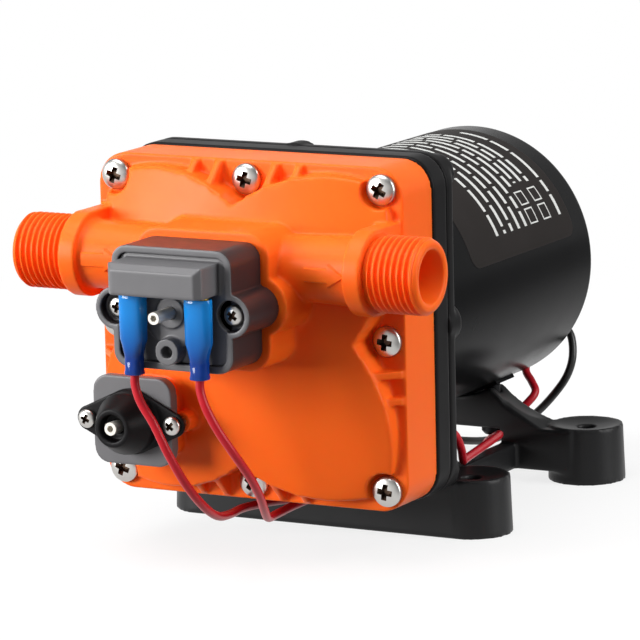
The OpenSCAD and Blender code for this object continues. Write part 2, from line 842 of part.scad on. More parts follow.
module brush_springs() color(spring_steel) at_head() {
    mid = commutator_y + commutator_l / 2;
    for (turn = [0, 180]) rotate([0, 0, turn]) translate([0, turn == 0 ? mid : -mid, 0]) difference() {
        rod_x(spring_out_r, brush_start + brush_l + seat_gap, brush_start + brush_l + spring_l);
        rod_x(spring_in_r, brush_start + brush_l, brush_start + brush_l + spring_l + 1);
    }
}

module lead_grommet() color(rubber) at_head() translate([grommet_x, 0, grommet_z]) {
    rod(grommet_r - 1.2, motor_end - can_wall, motor_end);
    taper(grommet_r, grommet_r - 1.5, motor_end, motor_end + 2.5);
}

// Outline of a yoke: feet level at the ends, swept up to the motor saddle
module yoke_outline(floor_gap) {
    half = foot_pitch_x / 2;
    end_x = half - foot_r + 1.5;
    end_z = foot_top - foot_dish / 2;
    bend_x = arm_half + yoke_bend_r;
    bend_z = end_z + tan(yoke_slope) * (end_x - bend_x) + yoke_bend_r / cos(yoke_slope);
    difference() {
        translate([-half, foot_z + floor_gap]) square([2 * half, axis_h - floor_gap]);
        for (s = [-1, 1]) scale([s, 1]) {
            translate([bend_x, bend_z]) circle(yoke_bend_r);
            polygon([
                [arm_half, 1], [arm_half, bend_z],
                [bend_x - yoke_bend_r * sin(yoke_slope), bend_z - yoke_bend_r * cos(yoke_slope)],
                [end_x, end_z], [half + 1, end_z], [half + 1, 1]
            ]);
        }
        circle(saddle_r);
    }
}

// Moulded base: four feet, two yokes and two rails
module base_frame() color(black) {
    half_x = foot_pitch_x / 2;
    half_y = foot_pitch_y / 2;
    dish_rim = foot_r - 1.2;
    dish_r = (dish_rim * dish_rim + foot_dish * foot_dish) / (2 * foot_dish);
    front_y = -half_y - foot_floor_r;
    rear_y = half_y - yoke_t;
    difference() {
        union() {
            for (x = [-half_x, half_x], y = [-half_y, half_y])
                translate([x, y, 0]) cylinder(r1 = foot_floor_r, r2 = foot_r, h = foot_h);
            translate([0, 0, axis_h]) {
                slab(front_y, front_y + yoke_t) yoke_outline(0);
                slab(rear_y, rear_y + yoke_t) yoke_outline(yoke_floor);
                for (s = [-1, 1]) scale([s, 1, 1])
                    block([window_half, front_y + 1, foot_z + yoke_floor],
                        [window_half + rail_w, rear_y + 1, foot_z + yoke_floor + rail_h]);
            }
        }
        for (x = [-half_x, half_x], y = [-half_y, half_y]) translate([x, y, 0]) {
            translate([0, 0, foot_h + dish_r - foot_dish]) sphere(dish_r, $fn = 128);
            translate([0, 0, -1]) cylinder(r = foot_hole_r, h = foot_h + 2);
        }
        // Wire passage over the front yoke, and the window through the rear one
        block([-wire_gate, front_y - 1, foot_h], [wire_gate, front_y + yoke_t + 1, axis_h]);
        block([-window_half, rear_y - 1, -1], [window_half, rear_y + yoke_t + 1, window_h]);
        at_saddle_screws() {
            cylinder(r = head_thread_d / 2 + screw_gap, h = axis_h);
            translate([0, 0, -1]) cylinder(r = saddle_head_r + 0.5, h = window_h + 1);
        }
    }
}

module at_saddle_screws() {
    half_y = foot_pitch_y / 2;
    for (x = [-saddle_screw_x, saddle_screw_x], y = [-half_y - foot_floor_r, half_y - yoke_t])
        translate([x, y + yoke_t / 2, 0]) children();
}

// Two steel saddles under the can, which take the screws of the base
module motor_saddles() color(black) {
    half_y = foot_pitch_y / 2;
    difference() {
        for (y = [-half_y - foot_floor_r, half_y - yoke_t]) translate([0, 0, axis_h]) intersection() {
            ring(motor_r + saddle_t, motor_r, y, y + yoke_t);
            slab(y - 1, y + yoke_t + 1) polygon([
                [0, 0], [-motor_d * tan(saddle_half), -motor_d], [motor_d * tan(saddle_half), -motor_d]
            ]);
        }
        at_saddle_screws() cylinder(r = head_thread_d / 2, h = axis_h);
    }
}

module saddle_screws() color(steel) {
    tip = axis_h - sqrt(pow(motor_r + saddle_t / 2, 2) - pow(saddle_screw_x, 2));
    at_saddle_screws() translate([0, 0, window_h]) rotate([90, 0, 0])
        pan_screw(saddle_head_r, 2.6, head_thread_d / 2, tip - window_h);
}

module switch_body() color(black) at_head() {
    difference() {
        slab(rim_y, -switch_out) switch_outline(0);
        translate([0, 0, switch_z]) slab(rim_y - 1, -switch_out - switch_floor)
            round_rect(switch_w - 2 * switch_wall, switch_h - 2 * switch_wall, switch_r - switch_wall);
        translate([0, 0, switch_axis_z]) {
            rod(guide_r, -switch_out - switch_floor - 1, -switch_out + 1);
            rod(membrane_r, -switch_out - membrane_t, -switch_out + 1);
        }
        for (s = [-1, 1]) translate([s * lug_pitch / 2, 0, switch_axis_z]) {
            rod(1.9, rim_y - 1, -switch_out + 1);
            rod(lug_r - 1.5, rim_y - 1, rim_y + lug_sink);
        }
    }
}

// Front panel with the hood over the terminals, the stud boss and a small test boss
module switch_cover() color(black) at_head() {
    w = switch_w - 2 * switch_wall - 2 * run_gap;
    h = switch_h - 2 * switch_wall - 2 * run_gap;
    difference() {
        union() {
            translate([0, 0, switch_z]) slab(panel_y, panel_y + panel_t)
                round_rect(w, h, switch_r - switch_wall);
            intersection() {
                translate([-hood_w / 2, 0, 0]) rotate([90, 0, 90]) linear_extrude(hood_w)
                    polygon([
                        [panel_y + 0.5, hood_low], [hood_y, hood_low], [hood_y, hood_high - hood_chamfer],
                        [hood_y + hood_chamfer, hood_high], [panel_y + 0.5, hood_high]
                    ]);
                translate([0, 0, hood_low - 1]) linear_extrude(hood_high - hood_low + 2)
                    polygon([
                        [-hood_w / 2, panel_y + 1], [-hood_w / 2, hood_y + hood_chamfer],
                        [-hood_w / 2 + hood_chamfer, hood_y], [hood_w / 2 - hood_chamfer, hood_y],
                        [hood_w / 2, hood_y + hood_chamfer], [hood_w / 2, panel_y + 1]
                    ]);
            }
            // Raised middle of the panel, which narrows down to the test boss
            slab(panel_y - raised_h, panel_y + 1) polygon([
                [-raised_half, hood_low + 1], [-raised_half, switch_axis_z - stud_boss_r],
                [-test_boss_r, switch_axis_z - test_drop + 1], [test_boss_r, switch_axis_z - test_drop + 1],
                [raised_half, switch_axis_z - stud_boss_r], [raised_half, hood_low + 1]
            ]);
            translate([0, 0, switch_axis_z]) rod(stud_boss_r, panel_y - stud_boss_h, panel_y + 1);
            translate([0, 0, switch_axis_z - test_drop]) rod(test_boss_r, panel_y - 4.2, panel_y + 1);
        }
        translate([0, 0, switch_axis_z]) rod(stud_r + run_gap, panel_y - 3, panel_y + panel_t + 1);
        translate([0, 0, switch_axis_z - test_drop]) rod(test_boss_r - 2, panel_y - 5, panel_y - 0.5);
        // Space for the lug screws beside the panel
        for (s = [-1, 1]) translate([s * lug_pitch / 2, 0, switch_axis_z])
            rod(lug_r - 1.5, rim_y - 1, panel_y + panel_t + 1);
        at_spades() block([-tab_w / 2, -tab_t / 2, hood_low - 1], [tab_w / 2, tab_t / 2, hood_low + 4]);
    }
}

module at_spades() for (s = [-1, 1]) translate([s * spade_pitch / 2, spade_y, 0]) children();

module switch_membrane() color(rubber) at_head() translate([0, 0, switch_axis_z]) {
    rod(membrane_r - run_gap, -switch_out - membrane_t + 0.4, -switch_out);
}

// Plunger with the pin that works the microswitch
module switch_plunger() color(white_plastic) at_head() {
    back = -switch_out - membrane_t - 0.1;
    translate([0, 0, switch_axis_z]) {
        rod(guide_r - run_gap, back - plunger_t, back);
        rod(2.6, back - plunger_t - 1.4, back - plunger_t + 0.5);
        translate([0, 0, guide_r - 2.2]) rod(1.2, back - plunger_t - 4, back - plunger_t + 0.5);
    }
}

module switch_spring() color(spring_steel) at_head() translate([0, 0, switch_axis_z]) {
    back = -switch_out - membrane_t - 0.1 - plunger_t;
    ring(4.4, 3, panel_y + panel_t + 2.2, back - 0.05);
}

// Hollow adjusting stud with the spring seat behind the panel
module pressure_adjuster() color(steel) at_head() translate([0, 0, switch_axis_z]) {
    difference() {
        union() {
            rod(stud_r, stud_end, panel_y + panel_t + 0.5);
            rod(4.6, panel_y + panel_t + 0.2, panel_y + panel_t + 2.1);
        }
        translate([0, stud_end + 3, 0]) rotate([90, 0, 0]) cylinder(r = stud_r * 0.58, h = 4, $fn = 6);
    }
}

module microswitch() color(carbon) at_head() {
    back = -switch_out - membrane_t - 0.1 - plunger_t;
    button_z = switch_axis_z + guide_r - 2.2;
    difference() {
        block([-micro_half, panel_y + panel_t, button_z - 2],
            [micro_half, back - 2.2, button_z + micro_over]);
        translate([0, 0, button_z]) rod(1.2 + screw_gap, back - 6.2, back);
        translate([0, 0, switch_axis_z]) rod(5.2, panel_y, back);
    }
}

module switch_screws() color(steel) at_head() {
    for (s = [-1, 1]) translate([s * lug_pitch / 2, rim_y + lug_sink, switch_axis_z])
        pan_screw(switch_head_r, small_head_h, small_thread_r, switch_d + switch_grip);
}

module switch_tabs() color(brass) at_head() {
    at_spades() block([-tab_w / 2, -tab_t / 2, hood_low - tab_out],
        [tab_w / 2, tab_t / 2, hood_low + tab_in]);
}

// Rolled receptacles that grip the tabs
module spade_receptacles() color(brass) at_head() at_spades() {
    difference() {
        block([-tab_w / 2 - 0.4, -1.1, spade_shoulder + 1], [tab_w / 2 + 0.4, 1.1, spade_high - 0.5]);
        block([-tab_w / 2 - run_gap, -tab_t / 2 - run_gap, hood_low - 9.5],
            [tab_w / 2 + run_gap, tab_t / 2 + run_gap, spade_high + 1]);
    }
}

module stadium(w, d) {
    square([w - d, d], center = true);
    for (s = [-1, 1]) translate([s * (w - d) / 2, 0]) circle(d / 2, $fn = 32);
}

// Blue nylon sleeves: flat at the tab, round at the wire
module spade_sleeves() color(blue) at_head() at_spades() {
    difference() {
        union() {
            translate([0, 0, spade_shoulder]) linear_extrude(spade_high - spade_shoulder)
                stadium(spade_w, spade_depth);
            hull() {
                translate([0, 0, spade_shoulder]) linear_extrude(0.1) stadium(spade_w, spade_depth);
                translate([0, 0, 0]) cylinder(r = barrel_r, h = 0.1, $fn = 32);
            }
            translate([0, 0, spade_low]) cylinder(r = barrel_r, h = -spade_low + 0.05);
        }
        block([-tab_w / 2 - 0.4, -1.1, spade_shoulder + 1], [tab_w / 2 + 0.4, 1.1, spade_high + 1]);
    }
}

module at_bypass() at_head() translate([-bypass_x, -bypass_out, -bypass_z]) children();

module bypass_plate() color(black) at_bypass() {
    difference() {
        slab(-bypass_t, 0) round_rect(bypass_w, bypass_w, switch_r);
        rod(bypass_bore, -bypass_t - 1, 1);
        for (s = [-1, 1]) translate([s * bypass_screw_pitch / 2, 0, 0])
            rod(1.5 + screw_gap, -bypass_t - 1, 1);
    }
}

// Eared cap with its hollow dome
module bypass_cap() color(black) at_bypass() {
    ear_y = -bypass_t - ear_t;
    end = ear_y - dome_h;
    difference() {
        union() {
            slab(ear_y, -bypass_t) link(bypass_screw_pitch / 2, dome_r + 0.6, ear_r);
            translate([0, ear_y, 0]) rotate([90, 0, 0]) rotate_extrude()
                polygon([[0, 0], [dome_r, 0], [dome_r, dome_h * 0.35],
                    [ring_r + 0.8, dome_h * 0.86], [ring_r, dome_h], [0, dome_h]]);
        }
        rod(bypass_bore, end + 4.8, 1);
        rod(bypass_stud_r + run_gap, end - 1, end + 6);
        rod(ring_bore, end - 1, end + 3.3);
        for (s = [-1, 1]) translate([s * bypass_screw_pitch / 2, 0, 0]) rod(1.5 + screw_gap, end, 1);
    }
}

module bypass_screws() color(steel) at_bypass() {
    for (s = [-1, 1]) translate([s * bypass_screw_pitch / 2, -bypass_t - ear_t, 0])
        pan_screw(bypass_head_r, small_head_h, small_thread_r, bypass_t + ear_t + bypass_grip);
}

module bypass_poppet() color(white_plastic) at_bypass() {
    rod(bypass_bore - run_gap, -2.4, -0.3);
    rod(2.2, -5, -2);
}

module bypass_spring() color(spring_steel) at_bypass() {
    ring(3.8, 2.5, -bypass_t - ear_t - dome_h + 6.5, -2.45);
}

module bypass_adjuster() color(steel) at_bypass() {
    end = -bypass_t - ear_t - dome_h;
    difference() {
        union() {
            rod(bypass_stud_r, end - bypass_stud_out, end + 5);
            rod(4.2, end + 4.9, end + 6.4);
        }
        translate([0, end + 2, 0]) rotate([90, 0, 0]) cylinder(r = bypass_stud_r * 0.55, h = 4, $fn = 6);
    }
}

// Leads: rings of points swept along a route
function along(p, i) = let (
    a = p[max(i - 1, 0)],
    b = p[min(i + 1, len(p) - 1)]
) (b - a) / norm(b - a);
function side_of(t) = let (s = cross(t, abs(t[2]) < 0.9 ? [0, 0, 1] : [0, 1, 0])) s / norm(s);
function carry(p, i) = i == 0 ? side_of(along(p, 0)) : let (
    t = along(p, i),
    s = carry(p, i - 1),
    flat = s - t * (s * t)
) flat / norm(flat);

module lead(route) {
    n = len(route);
    rings = [for (i = [0 : n - 1]) let (
        t = along(route, i),
        s = carry(route, i),
        o = cross(t, s)
    ) [for (k = [0 : lead_sides - 1]) let (a = k * 360 / lead_sides)
        route[i] + lead_d / 2 * (cos(a) * s + sin(a) * o)]];
    points = [for (r = rings) each r];
    walls = [for (i = [0 : n - 2], k = [0 : lead_sides - 1]) let (
        m = (k + 1) % lead_sides,
        a = i * lead_sides
    ) each [[a + k, a + m, a + lead_sides + k], [a + m, a + lead_sides + m, a + lead_sides + k]]];
    first = [for (k = [lead_sides - 2 : -1 : 1]) [0, k + 1, k]];
    last = [for (k = [1 : lead_sides - 2]) let (a = (n - 1) * lead_sides) [a, a + k, a + k + 1]];
    polyhedron(points, concat(walls, first, last));
}

// Route points, from the head frame; each route starts square to its terminal
route_switch_to_motor = [
    [-10, -46.1, -4.3], [-10, -46.1, -7.5], [-8.5, -46, -12], [-5.2, -45, -18], [-2.2, -43.2, -26],
    [0.2, -38, -35.5], [0.8, -30, -43], [-0.8, -20, -47.8], [-3.2, -9, -49.8], [-5, 3, -50.5],
    [-2.6, 20, -51.8], [4, 29, -52.7], [11, 33, -52.5], [17.5, 34.4, -50.8], [23, 34.7, -47.8],
    [28, 37, -43], [31.5, 40.5, -37.5], [34.7, 43.8, -34], [37.4, 47, -35], [38, 50, -39.6],
    [36.6, 54, -44], [34.2, 61, -44.9], [30, 86, -44.9], [27, 96, -45.7], [22.5, 104, -47.7],
    [17.2, 109, -50.6], [13.5, 115, -52.8], [11, 125, -52.6], [13.2, 131.5, -48.8], [17, 134.5, -44.7],
    [18.6, 137.6, -41.5], [16.3, 139.9, -38.8], [13.3, motor_end + 3.3, -36], [13, motor_end + 5.7, -31],
    [12.2, motor_end + 6.3, -26.6], [grommet_x - lead_step, motor_end + 4.2, grommet_z - 0.1],
    [grommet_x - lead_step, motor_end + 2.5, grommet_z]
];
route_supply_red = [
    [10, -46.1, -4.3], [10, -46.1, -7.5], [11.5, -46, -12], [14, -44.5, -18], [16.8, -41, -25],
    [17.8, -35, -32], [16.6, -27.5, -39], [13.5, -19.5, -45], [9.8, -11, -49.2], [7, -1, -50.5],
    [6, 11, -50.6], [7.3, 25, -50], [7.5, 29, -49.3], [7.5, 32.2, -47.6], [7.5, 35.2, -45.6],
    [7.4, 38.5, -44.1], [7, 43, -43.6], [6.5, 49, -43.9], [4, 60, -46], [-1, 74, -49.5],
    [-4, 92, -52], [-5, 112, -54], [-8, 133, -58], [-16, 141, -60.8], [-30, 146, -61.5],
    [-46, 147, -61.5], [-58, 140, -61.5], [-63, 127, -61.5], [-63, 112, -61.5], [-60, 78, -61.5]
];
route_supply_black = [
    [grommet_x + lead_step, motor_end + 2.5, grommet_z], [grommet_x + lead_step, motor_end + 4.7, grommet_z],
    [19, motor_end + 7.3, -23], [22.9, motor_end + 8.1, -22.5], [26.7, motor_end + 6.7, -25],
    [28.2, motor_end + 4.7, -31], [26.7, 142.4, -37], [22.5, 141.6, -43], [17, 141.2, -48.7],
    [9.5, 142.5, -54.2],
    [0, 146, -59], [-12, 150.5, -61.3], [-28, 153, -61.5], [-46, 153, -61.5], [-60, 147, -61.5],
    [-68, 134, -61.5], [-69, 116, -61.5], [-66, 78, -61.5]
];

module lead_switch_to_motor() color(red) at_head() lead(route_switch_to_motor);

module lead_supply_red() color(red) at_head() lead(route_supply_red);

module lead_supply_black() color(black) at_head() lead(route_supply_black);

// Stripped ends of the two supply leads
module lead_tips() color(copper) at_head() {
    for (route = [route_supply_red, route_supply_black]) {
        n = len(route);
        t = along(route, n - 1);
        translate(route[n - 1]) rotate([0, 0, atan2(t[1], t[0])]) rod_x(lead_d / 2 - 0.5, 0, 7);
    }
}

upper_housing();
diaphragm_frame();
lower_housing();
head_screws();
valve_plate();
valve_gasket();
inlet_valves();
outlet_valve();
diaphragm();
piston_caps();
piston_screws();
wobble_plate();
swash_bearing_outer();
swash_bearing_balls();
swash_bearing_inner();
swash_cam();
motor_shaft();
armature_core();
armature_windings();
commutator();
motor_can();
motor_front_plate();
front_bush();
rear_bush();
motor_screws();
magnets();
brush_card();
brush_left();
brush_right();
brush_springs();
lead_grommet();
base_frame();
motor_saddles();
saddle_screws();
switch_body();
switch_cover();
switch_membrane();
switch_plunger();
switch_spring();
pressure_adjuster();
microswitch();
switch_screws();
switch_tabs();
spade_receptacles();
spade_sleeves();
bypass_plate();
bypass_cap();
bypass_screws();
bypass_poppet();
bypass_spring();
bypass_adjuster();
lead_switch_to_motor();
lead_supply_red();
lead_supply_black();
lead_tips();
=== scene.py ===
# %% [markdown]
# # A caravan water pump, dressed in Blender
# The pump was drawn as solids first: an orange moulded head with two threaded ports, a pressure
# switch, a bypass valve, a black motor and a footed base. Those solids fix every place and size.
# This lesson gives them the look of the real thing: softened edges, threads, cross-recess screws, clear
# blue sleeves and PVC leads. The scene is in metres, in the frame of the solids, and sizes are written
# in millimetres.

# %% Load the solids
import json
import math

import bmesh
import bpy
from mathutils import Matrix, Vector


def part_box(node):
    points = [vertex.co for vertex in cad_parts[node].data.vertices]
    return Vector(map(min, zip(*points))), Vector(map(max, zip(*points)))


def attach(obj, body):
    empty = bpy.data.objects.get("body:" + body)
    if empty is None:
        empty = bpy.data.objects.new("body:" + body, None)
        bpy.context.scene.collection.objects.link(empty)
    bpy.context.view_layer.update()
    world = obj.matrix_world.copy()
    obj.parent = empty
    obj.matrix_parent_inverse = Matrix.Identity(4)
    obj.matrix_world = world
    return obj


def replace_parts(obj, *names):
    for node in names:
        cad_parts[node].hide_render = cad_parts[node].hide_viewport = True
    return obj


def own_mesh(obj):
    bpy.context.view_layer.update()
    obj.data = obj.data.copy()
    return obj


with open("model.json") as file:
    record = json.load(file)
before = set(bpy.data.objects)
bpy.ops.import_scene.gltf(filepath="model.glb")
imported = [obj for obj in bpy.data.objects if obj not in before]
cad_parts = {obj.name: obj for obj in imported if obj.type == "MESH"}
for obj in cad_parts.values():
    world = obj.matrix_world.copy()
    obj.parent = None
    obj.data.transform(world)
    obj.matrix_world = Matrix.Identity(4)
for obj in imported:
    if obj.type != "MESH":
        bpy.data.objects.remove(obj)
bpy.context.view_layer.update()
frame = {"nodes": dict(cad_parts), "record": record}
nodes = frame["nodes"]
MM = 0.001

# %% [markdown]
# Most sizes of the head are easiest to say from the middle of its flange's front face, on the pump's
# axis. That point comes from the solids: the motor can gives the axis, and the black frame behind the
# flange gives the flange's back face.

# %% The head's own origin
FLANGE_DEPTH = 17
can_low, can_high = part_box("motor_can")
axis_z = (can_low.z + can_high.z) / 2
flange_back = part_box("diaphragm_frame")[0].y
head_origin = Vector((0, flange_back - FLANGE_DEPTH * MM, axis_z))


def at_head(x, y, z):
    """A point given in millimetres from the head origin."""
    return head_origin + Vector((x, y, z)) * MM


print("head origin in mm:", [round(c / MM, 2) for c in head_origin])

# %% [markdown]
# ## The camera
# The photograph was taken from the front right, a little above the pump, with a long lens that keeps
# the verticals almost parallel. The camera stands on that line of sight and points at the middle of
# the picture, which is a little to the right of the head and above it, so it needs no lens shift.

# %% Camera
AZIMUTH, ELEVATION, ROLL = math.radians(29.557), math.radians(10.582), math.radians(-1.470)
DISTANCE = 1279.6
CENTRE_RIGHT, CENTRE_UP = 18.59, 2.91
PICTURE_PX, FOCAL_PX = 640, 4680.5
SENSOR = 36


def put(obj):
    """Links a new object to the scene."""
    bpy.context.scene.collection.objects.link(obj)
    return obj


back = Vector((math.sin(AZIMUTH) * math.cos(ELEVATION), -math.cos(AZIMUTH) * math.cos(ELEVATION),
               math.sin(ELEVATION)))
level = Vector((math.cos(AZIMUTH), math.sin(AZIMUTH), 0))
above = back.cross(level)
right = level * math.cos(ROLL) + above * math.sin(ROLL)
up = above * math.cos(ROLL) - level * math.sin(ROLL)

eye = head_origin + back * DISTANCE * MM
target = head_origin + (right * CENTRE_RIGHT + up * CENTRE_UP) * MM
camera_z = (eye - target).normalized()
camera_x = (right - camera_z * right.dot(camera_z)).normalized()
camera_y = camera_z.cross(camera_x)

camera_data = bpy.data.cameras.new("photo_camera")
camera_data.sensor_width = SENSOR
camera_data.lens = FOCAL_PX * SENSOR / PICTURE_PX
camera = put(bpy.data.objects.new("photo_camera", camera_data))
camera.matrix_world = Matrix((camera_x, camera_y, camera_z)).transposed().to_4x4()
camera.location = eye
bpy.context.scene.camera = camera
print("lens", round(camera_data.lens, 1), "mm")

# %% [markdown]
# ## Colours and materials
# Colours are written as the hex values that a colour picker shows, and one function turns them to the
# linear numbers that shaders use. One more function adds a node, so that a material reads as a short
# list of what feeds what.

# %% Colour and node helpers


def linear(hex_colour):
    """A hex colour as linear red, green, blue and alpha."""
    parts = [int(hex_colour[i:i + 2], 16) / 255 for i in (1, 3, 5)]
    return [c / 12.92 if c <= 0.04045 else ((c + 0.055) / 1.055) ** 2.4 for c in parts] + [1]


def add(owner, kind, inputs, **settings):
    """Adds a node to a material or a world, and fills each input with a value or a link."""
    node = owner.node_tree.nodes.new("ShaderNode" + kind)
    for name, value in settings.items():
        setattr(node, name, value)
    for name, value in inputs.items():
        if isinstance(value, bpy.types.NodeSocket):
            owner.node_tree.links.new(value, node.inputs[name])
        else:
            node.inputs[name].default_value = value
    return node


print("middle grey #808080 is", round(linear("#808080")[0], 3), "in linear light")

# %% [markdown]
# No real surface is quite even. Each material here has a fine grain as bump and a colour that drifts a
# little from patch to patch, and some have a roughness that does the same. Noise in object coordinates
# keeps the real sizes of these patterns, which an unwrapped picture would stretch. Mould grain is near
# 0.1 mm, too fine to show from here, so it is drawn at about 0.5 mm.

# %% One function for a finish


def material(name, grain, colour=None, roughness=None, strength=0.3, **sockets):
    """A material with a grain of this size and height, and the named sockets of its shader set.

    A colour or a roughness gives the size of its patches and the two values that it drifts between.
    """
    made = bpy.data.materials.new(name)
    made.use_nodes = True
    shader = made.node_tree.nodes["Principled BSDF"]
    link = made.node_tree.links.new
    for socket, value in sockets.items():
        shader.inputs[socket.replace("_", " ")].default_value = value
    place = add(made, "TexCoord", {}).outputs["Object"]
    size, height = grain
    noise = add(made, "TexNoise", {"Vector": place, "Scale": 1 / (size * MM), "Detail": 3,
                                   "Roughness": 0.55})
    bump = add(made, "Bump", {"Height": noise.outputs["Fac"], "Strength": strength,
                              "Distance": height * MM})
    link(bump.outputs["Normal"], shader.inputs["Normal"])
    if colour:
        size, low, high = colour
        noise = add(made, "TexNoise", {"Vector": place, "Scale": 1 / (size * MM)})
        mix = add(made, "Mix", {0: noise.outputs["Fac"], 6: linear(low), 7: linear(high)},
                  data_type="RGBA")
        link(mix.outputs[2], shader.inputs["Base Color"])
    if roughness:
        size, low, high = roughness
        noise = add(made, "TexNoise", {"Vector": place, "Scale": 1 / (size * MM)})
        spread = add(made, "MapRange", {"Value": noise.outputs["Fac"], "To Min": low, "To Max": high})
        link(spread.outputs["Result"], shader.inputs["Roughness"])
    return made


# %% [markdown]
# ### Plastics
# The head is injection-moulded polypropylene, coloured right through. The frame, switch, bypass valve
# and base are glass-filled nylon, which is harder and shows a faint pebble from the mould.

# %% Moulded plastics
# Polypropylene: a warm satin, soft at the edges because some light goes into it.
orange_plastic = material(
    "orange_polypropylene_moulded", grain=(0.5, 0.02), colour=(30, "#fb6318", "#fc6c1e"),
    roughness=(9, 0.34, 0.44), IOR=1.49, Specular_IOR_Level=0.14, Subsurface_Weight=0.3,
    Subsurface_Radius=(3.5 * MM, 0.6 * MM, 0.2 * MM), Subsurface_Scale=1)
# Black nylon: deep black with hardly any shine.
black_plastic = material(
    "black_nylon_moulded", grain=(0.45, 0.02), colour=(14, "#0f0e0f", "#141314"),
    roughness=(6, 0.36, 0.48), IOR=1.5, Specular_IOR_Level=0.1)
# The switch's nylon: a warm brown black, polished by its mould.
switch_plastic = material(
    "brown_black_nylon_moulded", grain=(0.4, 0.015), colour=(12, "#262022", "#2d2628"),
    roughness=(5, 0.28, 0.4), IOR=1.5, Specular_IOR_Level=0.35)
# Flat front faces of the same nylon with a painted sheen: greyer, for the light that they catch.
sheen_painted_nylon = material(
    "black_nylon_painted_sheen", grain=(0.4, 0.02), colour=(10, "#5a595b", "#646365"),
    roughness=(5, 0.34, 0.46), IOR=1.5, Specular_IOR_Level=0.4)
# The base's nylon: a neutral black with a coarse grain and a soft shine.
base_plastic = material(
    "base_nylon_moulded", grain=(0.6, 0.025), colour=(18, "#161617", "#1d1d1e"),
    roughness=(7, 0.34, 0.48), IOR=1.5, Specular_IOR_Level=0.24)
# Acetal: a milky white with a waxy shine.
white_plastic = material(
    "acetal_moulded", grain=(0.5, 0.02), colour=(12, "#dedcd4", "#e6e4de"), Roughness=0.35, IOR=1.48)
print("materials so far:", len(bpy.data.materials))

# %% [markdown]
# The blue sleeves are clear tinted nylon, darker at the barrel, where the nylon is thick, and painted
# lighter at the mouth, a painted glow for the light that comes through. Generated coordinates run from
# 0 to 1 over a piece, so their Z can blend the two blues. Rubber and PVC are duller.

# %% Sleeves, rubber and PVC
BARREL_END, MOUTH_START = 0.2, 0.8

# Clear nylon: a glossy, slightly wavy skin that lets light in.
blue_nylon = material(
    "blue_clear_nylon_painted_glow", grain=(1.6, 0.05), Roughness=0.08, IOR=1.53, Specular_IOR_Level=0.2,
    Transmission_Weight=0.15)
place = add(blue_nylon, "TexCoord", {})
along = add(blue_nylon, "SeparateXYZ", {"Vector": place.outputs["Generated"]})
# The share of the lighter blue: a painted glow that grows towards the mouth.
painted_glow = add(blue_nylon, "MapRange", {"Value": along.outputs["Z"], "From Min": BARREL_END,
                                    "From Max": MOUTH_START})
mix = add(blue_nylon, "Mix", {0: painted_glow.outputs["Result"], 6: linear("#04368a"), 7: linear("#158ade")},
          data_type="RGBA")
tree = blue_nylon.node_tree
tree.links.new(mix.outputs[2], tree.nodes["Principled BSDF"].inputs["Base Color"])
# Nitrile rubber: a dull dark grey.
rubber = material(
    "nitrile_rubber", grain=(0.5, 0.03), colour=(8, "#1a1a1a", "#222222"), Roughness=0.6, IOR=1.52)
# Extruded PVC: an even colour with a slight sheen along the wire.
red_pvc = material(
    "red_pvc_insulation", grain=(0.8, 0.02), colour=(12, "#b3101f", "#c01627"), Roughness=0.36, IOR=1.5,
    Specular_IOR_Level=0.3)
black_pvc = material(
    "black_pvc_insulation", grain=(0.8, 0.02), colour=(12, "#161616", "#1e1e1e"), Roughness=0.36,
    IOR=1.53)
print("materials so far:", len(bpy.data.materials))

# %% [markdown]
# ### Metals
# The screws are bright cold-headed stainless steel. Their recess, which the light doesn't reach, has
# painted shade: a darker brown steel. Most others are inside.

# %% Metals
# Cold-headed stainless steel: bright, with small dull and shiny patches.
stainless = material(
    "stainless_cold_headed", grain=(0.7, 0.012), colour=(3, "#b4b2ae", "#c8c6c2"),
    roughness=(2, 0.24, 0.36), Metallic=1)
# The walls of a recess: painted shade, a brown and dull steel for the shade inside it.
recess_painted_shade_steel = material(
    "stainless_recess_painted_shade", grain=(0.4, 0.03), colour=(1.5, "#4a3b31", "#5b4a3e"), Metallic=1,
    Roughness=0.5)
# Zinc plating with a painted sheen: a pale grey, half metal and half diffuse, bright even in shade.
sheen_painted_zinc_steel = material(
    "zinc_plated_steel_painted_sheen", grain=(0.4, 0.004), colour=(2, "#d3cec4", "#dedad1"), strength=0.1,
    Metallic=0.4, Roughness=0.35)
# Black zinc plating: a dark metal with a broad sheen.
black_zinc = material(
    "black_zinc_plated_steel", grain=(0.4, 0.004), colour=(2, "#1c1c1d", "#262627"), strength=0.1,
    Metallic=1, Roughness=0.45)
# Ground steel: a clean grey with sharp highlights.
ground_steel = material(
    "ground_bearing_steel", grain=(0.4, 0.01), colour=(5, "#a9abae", "#b8babd"), Metallic=1,
    Roughness=0.3)
# Drawn wire: a cool grey with long highlights.
spring_steel = material(
    "drawn_spring_wire", grain=(0.5, 0.02), colour=(4, "#8f9296", "#a0a3a7"), Metallic=1, Roughness=0.35)
# Laminated iron: dark grey and dull.
bare_iron = material(
    "bare_laminated_iron", grain=(0.6, 0.04), colour=(8, "#5c5f63", "#6c6f73"), Metallic=1, Roughness=0.5)
# Enamelled copper wire: a deep orange brown under a clear gloss.
copper = material(
    "enamelled_copper", grain=(0.6, 0.05), colour=(5, "#a85f36", "#bd7044"), Metallic=1, Roughness=0.3)
# Stamped brass: a clear yellow.
brass = material(
    "stamped_brass", grain=(0.5, 0.02), colour=(4, "#c2a052", "#d0b064"), Metallic=1, Roughness=0.28)
print("materials so far:", len(bpy.data.materials))

# %% [markdown]
# ### Paint, label and pressed powders
# The can is drawn steel under semi-gloss black paint, so it is not a metal to the shader: the paint is
# what the eye sees. The magnets and the brushes are pressed powders, which are matt.

# %% Paint, label and powders
# Sprayed paint: black, with long soft highlights and a faint waviness.
motor_paint = material(
    "black_semi_gloss_paint", grain=(1.6, 0.03), colour=(25, "#0d0d0e", "#121213"),
    roughness=(10, 0.2, 0.3), strength=0.15, IOR=1.5, Specular_IOR_Level=0.035)
